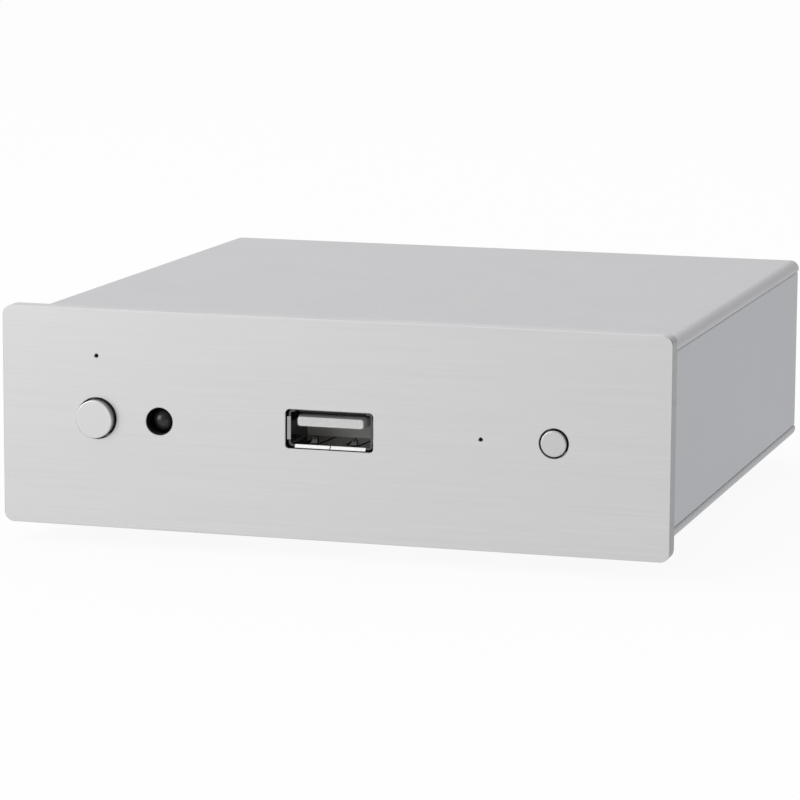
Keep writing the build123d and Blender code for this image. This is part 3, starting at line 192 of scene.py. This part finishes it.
# Nickel plating on rolled steel: neutral grey, with blurred images of what is round it
rolledSheet = {
    "dark": "#AFAFAE", "light": "#BABAB9", "grain": 0.3, "clouds": 3, "cloudShare": 1.2,
    "roughness": (0.22, 0.3), "relief": 0.0004,
}
# Zinc plating on turned steel: darker and bluer than the nickel, and duller
zincPlate = {
    "dark": "#92949A", "light": "#A3A5AA", "grain": 0.3, "clouds": 2, "cloudShare": 1,
    "roughness": (0.28, 0.38), "relief": 0.0006,
}
# Gold plating on brass: warm yellow and glossy
goldPlate = {
    "dark": "#CC9F50", "light": "#DAB064", "grain": 0.3, "clouds": 2, "cloudShare": 1,
    "roughness": (0.2, 0.28), "relief": 0.0003,
}
# Drawn aluminium of cans and fins: smooth and pale, with faint clouds
drawnCan = {
    "dark": "#ACADAF", "light": "#B8B9BB", "grain": 0.3, "clouds": 3, "cloudShare": 0.8,
    "roughness": (0.25, 0.35), "relief": 0.0005,
}


# Nickel-plated port sheet: its lower lip, and less its left lip, is painted pale as a painted
# highlight;
# the rest is painted dark as painted shade inside the port
paintedLightPortSheet = {
    # dark is painted shade inside the port; light is a painted highlight on the lips
    "dark": "#565656", "light": "#E2E2E2", "grain": 0.3, "grainDetail": 2,
    "roughness": (0.08, 0.2), "relief": 0.001,
    "paintedHighlightEnds": (0.4, 0.5),  # behind the mouth, where the painted highlight fades
    "paintedHighlightShares": {"X": 0.4, "Z": 1},  # painted highlight: the left lip gets less than the lower, the others none
    "slopeGain": 2.2,  # the product of two slopes is 0.5 at most; this raises it to a full share
}


def paintedLightSheet():
    look = paintedLightPortSheet
    material, tree, place, surface = startMaterial("nickel-plated sheet with painted highlight and shade", {"Metallic": 1})
    normal = addNode(tree, "ShaderNodeTexCoord").outputs["Normal"]
    facing = addNode(tree, "ShaderNodeSeparateXYZ", None, {"Vector": normal})
    depth = addNode(tree, "ShaderNodeSeparateXYZ", None, {"Vector": place}).outputs["Y"]
    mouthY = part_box("host_port_shell")[0][1]
    fullUntil, goneFrom = (mouthY + end / 1000 for end in look["paintedHighlightEnds"])
    lip = addNode(tree, "ShaderNodeMapRange",
                  {"From Min": fullUntil, "From Max": goneFrom, "To Min": 1, "To Max": 0},
                  {"Value": depth}).outputs["Result"]
    amounts = []
    for axis, share in look["paintedHighlightShares"].items():  # lips that slope inwards face two ways at once
        slope = addNode(tree, "ShaderNodeMath", {"operation": "MULTIPLY"},
                        {0: facing.outputs[axis], 1: facing.outputs["Y"]}).outputs[0]
        amount = addNode(tree, "ShaderNodeMath",
                         {"operation": "MULTIPLY", "use_clamp": True, 1: -look["slopeGain"] * share},
                         {0: slope}).outputs[0]
        amounts.append(amount)
    # painted highlight on the lips that face the light; elsewhere the dark colour is painted shade
    paintedHighlight = addNode(tree, "ShaderNodeMath", {"operation": "ADD", "use_clamp": True},
                     {0: amounts[1], 1: amounts[0]}).outputs[0]
    paintedHighlightShare = addNode(tree, "ShaderNodeMath", {"operation": "MULTIPLY"}, {0: paintedHighlight, 1: lip}).outputs[0]
    grain = addNode(tree, "ShaderNodeTexNoise",
                    {"Scale": perMetre(look["grain"]), "Detail": look["grainDetail"]},
                    {"Vector": place}).outputs["Fac"]
    applyLook(tree, surface, look, paintedHighlightShare, grain)
    return material


mouldedDetail = 3


# Moulded plastic or resin: one colour with a spark-eroded grain and slightly uneven gloss
def moulded(name, look):
    material, tree, place, surface = startMaterial(name, {"Metallic": 0, "IOR": look["ior"]})
    grain = addNode(tree, "ShaderNodeTexNoise",
                    {"Scale": perMetre(look["grain"]), "Detail": mouldedDetail},
                    {"Vector": place}).outputs["Fac"]
    share = addNode(tree, "ShaderNodeMapRange", patternSpan, {"Value": grain}).outputs["Result"]
    applyLook(tree, surface, look, share, grain)
    return material


# Moulded black nylon of sockets and switches: near black and dull
blackNylon = {
    "dark": "#151515", "light": "#1F1F1F", "grain": 0.25, "roughness": (0.45, 0.6),
    "relief": 0.01, "ior": 1.53,
}
# Moulded silicone rubber: matt, and greyer than the nylon
siliconeRubber = {
    "dark": "#1B1B1B", "light": "#262626", "grain": 0.4, "roughness": (0.7, 0.85),
    "relief": 0.02, "ior": 1.43,
}
# Moulded pale nylon of the port's tongue: light grey with a half gloss
paleNylon = {
    "dark": "#C5C6C5", "light": "#CFD0CF", "grain": 0.3, "roughness": (0.35, 0.45),
    "relief": 0.003, "ior": 1.53,
}
# Moulded acetal, white and red: waxy, with a half gloss
whiteAcetal = {
    "dark": "#D8D7D1", "light": "#E4E3DD", "grain": 0.3, "roughness": (0.35, 0.5),
    "relief": 0.004, "ior": 1.48,
}
redAcetal = {
    "dark": "#8E1410", "light": "#A31D17", "grain": 0.3, "roughness": (0.35, 0.5),
    "relief": 0.004, "ior": 1.48,
}
# Moulded chip epoxy: charcoal and nearly matt
chipEpoxy = {
    "dark": "#1C1D1E", "light": "#282929", "grain": 0.15, "roughness": (0.55, 0.7),
    "relief": 0.004, "ior": 1.55,
}
# Pressed and sintered ferrite: dark grey, dull and slightly rough
sinteredFerrite = {
    "dark": "#2E2E2F", "light": "#3C3C3D", "grain": 0.3, "roughness": (0.5, 0.7),
    "relief": 0.01, "ior": 1.6,
}
# Extruded vinyl jacket: black with a soft sheen
vinylJacket = {
    "dark": "#161616", "light": "#202020", "grain": 0.5, "roughness": (0.4, 0.5),
    "relief": 0.004, "ior": 1.53,
}
# Infrared-passing epoxy: near black and polished, so it only shows what it mirrors
infraredEpoxy = {
    "dark": "#08080A", "light": "#0D0D10", "grain": 1.2, "roughness": (0.2, 0.3),
    "relief": 0.002, "ior": 1.5,
}


# Solder mask over a glass laminate: glossy green with copper tracks that show as paler lines
maskedLaminate = {
    "dark": "#0E3A24", "light": "#1B5537", "track": 1.6, "roughness": (0.25, 0.35),
    "relief": 0.03, "reliefStrength": 0.6, "ior": 1.55,
}


def solderMask():
    look = maskedLaminate
    material, tree, place, surface = startMaterial(
        "solder mask on glass laminate", {"Metallic": 0, "IOR": look["ior"]})
    tracks = addNode(tree, "ShaderNodeTexVoronoi",
                     {"Scale": perMetre(look["track"]), "distance": "CHEBYCHEV", "feature": "F1"},
                     {"Vector": place}).outputs["Distance"]
    share = addNode(tree, "ShaderNodeMapRange", patternSpan, {"Value": tracks}).outputs["Result"]
    applyLook(tree, surface, look, share, tracks)
    return material


# Clear moulded acrylic and cast lamp resin: see-through, with a haze that blurs what is behind
clearAcrylic = {"colour": "#E6EAEA", "roughness": (0.15, 0.27), "ior": 1.49}
lampResin = {"colour": "#E9E4CC", "roughness": (0.2, 0.36), "ior": 1.53}
greenResin = {"colour": "#8FC79A", "roughness": (0.2, 0.36), "ior": 1.53}
amberResin = {"colour": "#D9A24C", "roughness": (0.2, 0.36), "ior": 1.53}
haze = {"size": 0.6, "detail": 2}


def clearPlastic(name, look):
    material, tree, place, surface = startMaterial(
        name, {"Base Color": toLinear(look["colour"]), "Transmission Weight": 1, "IOR": look["ior"]})
    pattern = addNode(tree, "ShaderNodeTexNoise",
                      {"Scale": perMetre(haze["size"]), "Detail": haze["detail"]},
                      {"Vector": place}).outputs["Fac"]
    clearest, haziest = look["roughness"]
    gloss = addNode(tree, "ShaderNodeMapRange", {**patternSpan, "To Min": clearest, "To Max": haziest},
                    {"Value": pattern}).outputs["Result"]
    tree.links.new(gloss, surface.inputs["Roughness"])
    return material


zincPlated = grainedMetal("zinc-plated turned steel", zincPlate)
goldPlated = grainedMetal("gold-plated brass", goldPlate)
nickelPlated = grainedMetal("nickel-plated rolled steel", rolledSheet)
greenLens = clearPlastic("moulded green lens", greenResin)
amberLens = clearPlastic("moulded amber lens", amberResin)

finishes = {
    brushedAnodisedAluminium(): ["front_panel"],
    grainedMetal("bead-blasted anodised aluminium", blastedCover): ["top_cover"],
    grainedMetal("bead-blasted anodised aluminium base", blastedBase): ["bottom_cover"],
    grainedMetal("satin anodised aluminium walls with painted shade", paintedShadeWall): ["left_side_wall", "right_side_wall"],
    grainedMetal("satin anodised aluminium rear plate", rearPlate): ["rear_panel"],
    grainedMetal("turned anodised aluminium", turnedCap): ["power_button_cap"],
    grainedMetal("turned anodised aluminium with painted shade", paintedShadeCap): ["source_button_cap"],
    paintedLightSheet(): ["host_port_shell"],
    grainedMetal("drawn aluminium cans", drawnCan): [
        "power_capacitors", "audio_capacitors", "heat_sink"],
    zincPlated: ["case_screws", "foot_screws", "board_standoffs", "board_screws"],
    nickelPlated: [
        "network_jack_shell", "radio_module_shield", "infrared_receiver_leads",
        "phono_left_barrel", "phono_right_barrel", "optical_shutter_pin", "power_inlet_pin",
        "antenna_socket_washer", "antenna_socket_nut", "clock_crystals"],
    goldPlated: [
        "host_port_contacts", "network_jack_contacts", "antenna_socket_body", "antenna_lead_plug"],
    moulded("moulded silicone rubber", siliconeRubber): [
        "foot_front_left", "foot_front_right", "foot_rear_left", "foot_rear_right"],
    moulded("moulded black nylon", blackNylon): [
        "network_jack_insert", "phono_socket_housing", "optical_socket_body", "optical_shutter",
        "power_inlet_body", "power_switch_body", "source_switch_body", "power_switch_plunger",
        "source_switch_plunger", "radio_module_headers"],
    moulded("moulded pale nylon", paleNylon): ["host_port_insert"],
    moulded("moulded white acetal", whiteAcetal): ["phono_left_insulator", "antenna_socket_core"],
    moulded("moulded red acetal", redAcetal): ["phono_right_insulator"],
    moulded("moulded chip epoxy", chipEpoxy): [
        "processor_chip", "audio_converter_chip", "output_amplifier_chip", "voltage_regulators"],
    moulded("pressed ferrite", sinteredFerrite): ["power_inductors"],
    moulded("extruded vinyl jacket", vinylJacket): ["antenna_lead"],
    moulded("polished infrared epoxy", infraredEpoxy): ["infrared_receiver"],
    solderMask(): ["main_board", "radio_module_board"],
    clearPlastic("moulded clear acrylic", clearAcrylic): ["power_light_guide", "source_light_guide"],
    clearPlastic("cast lamp resin", lampResin): ["indicator_lamps"],
}
for material, names in finishes.items():
    for name in names:
        piece = nodes[name]
        if piece.data.materials:
            piece.data.materials[0] = material
        else:
            piece.data.materials.append(material)
bare = sorted(set(nodes) - {name for names in finishes.values() for name in names})
print("materials given, nodes without one:", bare)

mergeDistance = 1e-6


# New pieces start from a primitive that is shaped in edit mode, and end as a mesh at the origin
def startPiece(name, addPrimitive, **settings):
    bpy.ops.object.select_all(action="DESELECT")
    addPrimitive(**settings)
    piece = bpy.context.object
    piece.name = name
    bpy.ops.object.mode_set(mode="EDIT")
    bpy.ops.mesh.select_all(action="SELECT")
    return piece


def selectOnly(piece):
    bpy.ops.object.select_all(action="DESELECT")
    bpy.context.view_layer.objects.active = piece
    piece.select_set(True)


def selectVerts(piece, chosen):  # chosen is asked with each point's place in the scene
    mesh = bmesh.from_edit_mesh(piece.data)
    bpy.ops.mesh.select_all(action="DESELECT")
    for vert in mesh.verts:
        vert.select_set(chosen(piece.matrix_world @ vert.co))
    mesh.select_flush(True)
    bmesh.update_edit_mesh(piece.data)


def addModifier(piece, kind, **settings):
    bpy.ops.object.mode_set(mode="OBJECT")
    modifier = piece.modifiers.new(kind.lower(), kind)
    for name, value in settings.items():
        setattr(modifier, name, value)
    bpy.ops.object.modifier_apply(modifier=modifier.name)
    bpy.ops.object.mode_set(mode="EDIT")
    bpy.ops.mesh.select_all(action="SELECT")


def drawOut(outline, centre, axis):  # extrudes the selected ring through (radius, place) steps
    for (radius, place), (nextRadius, nextPlace) in zip(outline, outline[1:]):
        move = [0, 0, 0]
        grow = [nextRadius / radius] * 3
        pivot = list(centre)
        move[axis], grow[axis], pivot[axis] = nextPlace - place, 1, nextPlace
        bpy.ops.mesh.extrude_region_move(TRANSFORM_OT_translate={"value": move})
        bpy.ops.transform.resize(value=grow, center_override=pivot)


def finishPiece(piece, body, material, smoothAngle):
    bpy.ops.mesh.select_all(action="SELECT")
    bpy.ops.mesh.remove_doubles(threshold=mergeDistance)
    bpy.ops.mesh.normals_make_consistent(inside=False)
    bpy.ops.object.mode_set(mode="OBJECT")
    bpy.ops.object.transform_apply(location=True, rotation=True, scale=True)
    bpy.ops.object.shade_smooth_by_angle(angle=math.radians(smoothAngle))
    piece.data.materials.clear()
    piece.data.materials.append(material)
    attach(piece, body)


def turnedPiece(name, outline, x, z, sides):  # a closed (radius, Y) outline, turned about Y
    firstRadius, firstY = outline[0]
    piece = startPiece(name, bpy.ops.mesh.primitive_circle_add, vertices=sides, radius=firstRadius,
                       location=(x, firstY, z), rotation=(math.pi / 2, 0, 0))
    drawOut(outline + outline[:1], (x, firstY, z), 1)
    return piece


def middleOf(node):
    low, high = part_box(node)
    return [(a + b) / 2 for a, b in zip(low, high)]


# Antenna socket: a turned barrel with a real thread, its hexagonal flange and its crimped ferrule
antennaBarrel = {
    "majorRadius": 0.003175, "rootRadius": 0.00287, "boreRadius": 0.0023, "pitch": 0.0007,
    "endBreak": 0.0003, "sides": 48, "smoothAngle": 30,
    "flangeWidth": 0.008, "flangeThickness": 0.002, "flangeBreak": 0.0003, "breakSteps": 2,
    "ferruleRadius": 0.0017, "ferruleWaist": 0.00145, "leadHole": 0.0007,
    "crimp": (1 / 3, 1 / 2, 2 / 3),  # where along the ferrule the waist starts, is deepest and ends
    "toothSunk": 0.0001,  # how far the tooth's foot reaches into the barrel, so that no gap shows
    "toothOverCircle": 1.5,  # a triangle's height over the radius of the circle round it
    "turnSteps": 36,
}


def addAntennaBarrel():
    look = antennaBarrel
    x, _, z = middleOf("antenna_socket_washer")
    startY, endY = (corner[1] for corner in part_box("antenna_socket_body"))
    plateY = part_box("rear_panel")[0][1]
    flangeY = plateY - look["flangeThickness"]
    breakY = endY - look["endBreak"]
    root, bore, ferrule = look["rootRadius"], look["boreRadius"], look["ferruleRadius"]
    crimpY = [flangeY + (startY - flangeY) * share for share in look["crimp"]]
    outline = [
        (bore, plateY), (bore, endY), (root - look["endBreak"], endY), (root, breakY),
        (root, flangeY), (ferrule, flangeY),
        (ferrule, crimpY[0]), (look["ferruleWaist"], crimpY[1]), (ferrule, crimpY[2]),
        (ferrule, startY), (look["leadHole"], startY), (look["leadHole"], plateY),
    ]
    barrel = turnedPiece("antennaBarrel", outline, x, z, look["sides"])
    finishPiece(barrel, "case", goldPlated, look["smoothAngle"])
    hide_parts("antenna_socket_body")

    cornerRadius = look["flangeWidth"] / math.sqrt(3)
    flange = startPiece("antennaFlange", bpy.ops.mesh.primitive_cylinder_add, vertices=6,
                        radius=cornerRadius, depth=look["flangeThickness"],
                        location=(x, flangeY + look["flangeThickness"] / 2, z),
                        rotation=(math.pi / 2, 0, math.pi / 2))
    bpy.ops.transform.rotate(value=math.pi / 2, orient_axis="Y", center_override=(x, flangeY, z))
    addModifier(flange, "BEVEL", width=look["flangeBreak"], segments=look["breakSteps"],
                limit_method="ANGLE")
    finishPiece(flange, "case", goldPlated, look["smoothAngle"])

    toothHeight = look["majorRadius"] - root + look["toothSunk"]
    toothRadius = toothHeight / look["toothOverCircle"]
    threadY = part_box("antenna_socket_nut")[0][1]
    turns = int((breakY - threadY) / look["pitch"]) - 1  # at least one turn stays bare
    thread = startPiece("antennaThread", bpy.ops.mesh.primitive_circle_add, vertices=3,
                        radius=toothRadius, location=(x, threadY, z),
                        rotation=(math.pi / 2, 0, math.pi / 2))
    bpy.ops.transform.translate(value=(0, 0, look["majorRadius"] - toothRadius))
    addModifier(thread, "SCREW", axis="X", angle=2 * math.pi, screw_offset=look["pitch"],
                iterations=turns, steps=look["turnSteps"], render_steps=look["turnSteps"],
                use_merge_vertices=False)
    bpy.ops.mesh.fill_holes(sides=4)  # closes the tooth at both ends
    finishPiece(thread, "case", goldPlated, look["smoothAngle"])


# Foot screws: pan heads with a cross recess
footScrew = {
    "faceRadius": 0.0014, "headRadius": 0.0026, "headHeight": 0.0015, "shankRadius": 0.00145,
    "roundShare": 0.6, "roundSteps": 6,  # of the head's height, and of its quarter turn
    "recessLength": 0.0027, "recessWidth": 0.0006, "recessDepth": 0.00095, "recessTaper": 0.45,
    "sides": 40, "smoothAngle": 30,
}


def addFootScrews():
    look = footScrew
    lowZ, highZ = (corner[2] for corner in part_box("foot_screws"))
    feet = ["foot_front_left", "foot_front_right", "foot_rear_left", "foot_rear_right"]
    firstX, firstY, _ = middleOf(feet[0])
    face, head, shank = look["faceRadius"], look["headRadius"], look["shankRadius"]
    headZ = lowZ + look["headHeight"]
    outline = [(face, lowZ)]
    for step in range(1, look["roundSteps"] + 1):  # the head's round edge
        turn = math.pi / 2 * step / look["roundSteps"]
        rise = look["headHeight"] * look["roundShare"] * (1 - math.cos(turn))
        outline.append((face + (head - face) * math.sin(turn), lowZ + rise))
    outline += [(head, headZ), (shank, headZ), (shank, highZ)]
    screw = startPiece("footScrew_" + feet[0], bpy.ops.mesh.primitive_circle_add,
                       vertices=look["sides"], radius=face, fill_type="NGON",
                       location=(firstX, firstY, lowZ))
    drawOut(outline, (firstX, firstY, lowZ), 2)
    bpy.ops.mesh.normals_make_consistent(inside=False)
    bpy.ops.object.mode_set(mode="OBJECT")
    length, width, taper = look["recessLength"], look["recessWidth"], look["recessTaper"]
    for sizes in ((length, width), (width, length)):  # a cutter reaches out of the face as far as in
        cutter = startPiece("recessCutter", bpy.ops.mesh.primitive_cube_add, size=1,
                            location=(firstX, firstY, lowZ), scale=(*sizes, look["recessDepth"] * 2))
        selectVerts(cutter, lambda place: place.z > lowZ)
        bpy.ops.transform.resize(value=(taper, taper, 1), center_override=(firstX, firstY, lowZ))
        bpy.ops.object.mode_set(mode="OBJECT")
        selectOnly(screw)
        addModifier(screw, "BOOLEAN", operation="DIFFERENCE", object=cutter, solver="EXACT")
        bpy.ops.object.mode_set(mode="OBJECT")
        bpy.data.objects.remove(cutter)
    bpy.ops.object.mode_set(mode="EDIT")
    finishPiece(screw, "case", zincPlated, look["smoothAngle"])
    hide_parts("foot_screws")
    for foot in feet[1:]:
        x, y, _ = middleOf(foot)
        copy = screw.copy()
        copy.data = screw.data.copy()
        copy.name = "footScrew_" + foot
        bpy.context.scene.collection.objects.link(copy)
        selectOnly(copy)
        copy.location = (x - firstX, y - firstY, 0)
        bpy.ops.object.transform_apply(location=True, rotation=True, scale=True)


# Network jack lamps: two small lenses in the windows beside the latch slot, with nothing lit
jackLamp = {
    "side": 0.0064, "below": 0.0032,  # from the shell's middle and from its top
    "width": 0.0025, "height": 0.0017, "depth": 0.00055,
    "round": 0.00025, "roundSteps": 3, "smoothAngle": 40,
}


def addJackLamps():
    look = jackLamp
    x = middleOf("network_jack_shell")[0]
    topZ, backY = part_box("network_jack_shell")[1][2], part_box("network_jack_insert")[1][1]
    for name, side, lens in (("jackLampLeft", -1, greenLens), ("jackLampRight", 1, amberLens)):
        place = (x + side * look["side"], backY - look["depth"] / 2, topZ - look["below"])
        lamp = startPiece(name, bpy.ops.mesh.primitive_cube_add, size=1, location=place,
                          scale=(look["width"], look["depth"], look["height"]))
        bpy.ops.object.mode_set(mode="OBJECT")
        bpy.ops.object.transform_apply(location=False, rotation=False, scale=True)
        addModifier(lamp, "BEVEL", width=look["round"], segments=look["roundSteps"],
                    limit_method="ANGLE")
        finishPiece(lamp, "case", lens, look["smoothAngle"])


# Phono centre contacts: a thin gold lining that grips the plug's pin, seen down the hole
phonoSleeve = {
    "outerRadius": 0.001645, "innerRadius": 0.0016, "lipRadius": 0.0015, "inset": 0.0004,
    "length": 0.0072, "sides": 32, "smoothAngle": 30,
}


def addPhonoSleeves():
    look = phonoSleeve
    outer, inner, lip = look["outerRadius"], look["innerRadius"], look["lipRadius"]
    for name, node in (("phonoSleeveLeft", "phono_left_insulator"),
                       ("phonoSleeveRight", "phono_right_insulator")):
        x, _, z = middleOf(node)
        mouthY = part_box(node)[1][1] - look["inset"]
        endY = mouthY - look["length"]
        outline = [
            (outer, mouthY), (outer, endY), (lip, endY), (inner, endY + look["inset"]),
            (inner, mouthY),
        ]
        sleeve = turnedPiece(name, outline, x, z, look["sides"])
        finishPiece(sleeve, "case", goldPlated, look["smoothAngle"])


# Power inlet contact: a leaf spring along the bore's lower side, bowed in to press on the plug
inletSpring = {
    "width": 0.0018, "length": 0.0076, "inset": 0.0011, "bow": 0.0006, "thickness": 0.00025,
    "seat": 0.00305,  # below the pin's middle
    "rows": 5, "bowShares": (0.35, 0.15),  # of the length, to both sides: the middle rises further
    "levels": 2, "smoothAngle": 40,
}


def addInletSpring():
    look = inletSpring
    x, _, z = middleOf("power_inlet_pin")
    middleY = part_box("power_inlet_body")[1][1] - look["inset"] - look["length"] / 2
    middle = (x, middleY, z - look["seat"])
    spring = startPiece("inletSpring", bpy.ops.mesh.primitive_grid_add, x_subdivisions=1,
                        y_subdivisions=look["rows"], size=1, location=middle)
    bpy.ops.transform.resize(value=(look["width"], look["length"], 1), center_override=middle)
    for share in look["bowShares"]:
        selectVerts(spring, lambda place: abs(place.y - middleY) < look["length"] * share)
        bpy.ops.transform.translate(value=(0, 0, look["bow"] / 2))
    addModifier(spring, "SOLIDIFY", thickness=look["thickness"], offset=0)
    addModifier(spring, "SUBSURF", levels=look["levels"], render_levels=look["levels"])
    finishPiece(spring, "case", nickelPlated, look["smoothAngle"])


addAntennaBarrel()
addFootScrews()
addJackLamps()
addPhonoSleeves()
addInletSpring()
bpy.ops.object.select_all(action="DESELECT")
print("new pieces made: antenna barrel, flange and thread, foot screws, jack lamps,",
      "phono sleeves, inlet spring")

# White studio: daylight comes softly from the left and the back, so the right side stays greyer
studio = {
    "floorSide": 12, "floorColour": "#F0F0F0",
    "floorWhite": 0.92,  # share of the floor that stays white to the eye; the rest keeps the shadow
    "skyFrom": (-0.9, 0.44, 0), "skyBright": 1.3, "skyDim": 0.3,
    "lamps": {  # place, what it points at, side in metres, watts
        "keyLamp": ((-1.05, -1.35, 0.5), (0, 0, 0.02), 0.95, 9.1),
        "topLamp": ((-0.6, -0.15, 1.05), (0, 0, 0), 1.4, 3.0),
    },
}

world = bpy.data.worlds.new("soft studio daylight")
bpy.context.scene.world = world
world.use_nodes = True
sky = world.node_tree
sky.nodes.clear()
direction = addNode(sky, "ShaderNodeTexCoord").outputs["Generated"]
towards = addNode(sky, "ShaderNodeVectorMath", {"operation": "DOT_PRODUCT", 1: studio["skyFrom"]},
                  {0: direction}).outputs["Value"]
level = addNode(sky, "ShaderNodeMapRange",
                {"From Min": -1, "From Max": 1,
                 "To Min": studio["skyDim"], "To Max": studio["skyBright"]},
                {"Value": towards}).outputs["Result"]
light = addNode(sky, "ShaderNodeBackground", {"Color": (1, 1, 1, 1)}, {"Strength": level})
addNode(sky, "ShaderNodeOutputWorld", None, {"Surface": light.outputs[0]})

bpy.ops.mesh.primitive_plane_add(size=studio["floorSide"])
floor = bpy.context.object
floor.name = "floor"
paper = bpy.data.materials.new("matt studio paper")
paper.use_nodes = True
tree = paper.node_tree
tree.nodes.clear()
path = addNode(tree, "ShaderNodeLightPath")
seen = path.outputs["Is Camera Ray"]
for other in ("Is Glossy Ray", "Is Transmission Ray"):  # metal and plastic show the same white floor
    seen = addNode(tree, "ShaderNodeMath", {"operation": "MAXIMUM"},
                   {0: seen, 1: path.outputs[other]}).outputs[0]
white = addNode(tree, "ShaderNodeMath", {"operation": "MULTIPLY", 1: studio["floorWhite"]},
                {0: seen}).outputs[0]
matt = addNode(tree, "ShaderNodeBsdfDiffuse", {"Color": toLinear(studio["floorColour"])}).outputs[0]
glow = addNode(tree, "ShaderNodeEmission", {"Color": (1, 1, 1, 1), "Strength": 1}).outputs[0]
mixed = addNode(tree, "ShaderNodeMixShader", None, {0: white, 1: matt, 2: glow}).outputs[0]
addNode(tree, "ShaderNodeOutputMaterial", None, {"Surface": mixed})
floor.data.materials.append(paper)

for name, (place, target, side, watts) in studio["lamps"].items():
    lamp = bpy.data.lights.new(name, "AREA")
    lamp.size = side
    lamp.energy = watts
    holder = bpy.data.objects.new(name, lamp)
    bpy.context.scene.collection.objects.link(holder)
    holder.location = place
    holder.rotation_euler = (Vector(target) - Vector(place)).to_track_quat("-Z", "Y").to_euler()

# Camera where the photograph was taken: solved from the panel's and case's straight edges
photoCamera = {
    "lens": 171.066, "sensor": 36,  # mm
    "place": (0.165989, -0.582465, 0.114175), "nearest": 0.01,
    "yaw": 16.433, "pitch": 9.282, "roll": 0.339,  # degrees; the pitch is how far it looks down
}
camera = bpy.data.cameras.new("photo camera")
camera.lens = photoCamera["lens"]
camera.sensor_width = photoCamera["sensor"]
camera.clip_start = photoCamera["nearest"]
cameraHolder = bpy.data.objects.new("photo camera", camera)
bpy.context.scene.collection.objects.link(cameraHolder)
turn = Matrix.Rotation(math.radians(photoCamera["yaw"]), 4, "Z")
turn = turn @ Matrix.Rotation(math.radians(90 - photoCamera["pitch"]), 4, "X")
turn = turn @ Matrix.Rotation(math.radians(photoCamera["roll"]), 4, "Z")
cameraHolder.matrix_world = Matrix.Translation(photoCamera["place"]) @ turn
bpy.context.scene.camera = cameraHolder
bpy.context.scene.view_settings.view_transform = "Standard"
print("studio and camera set")
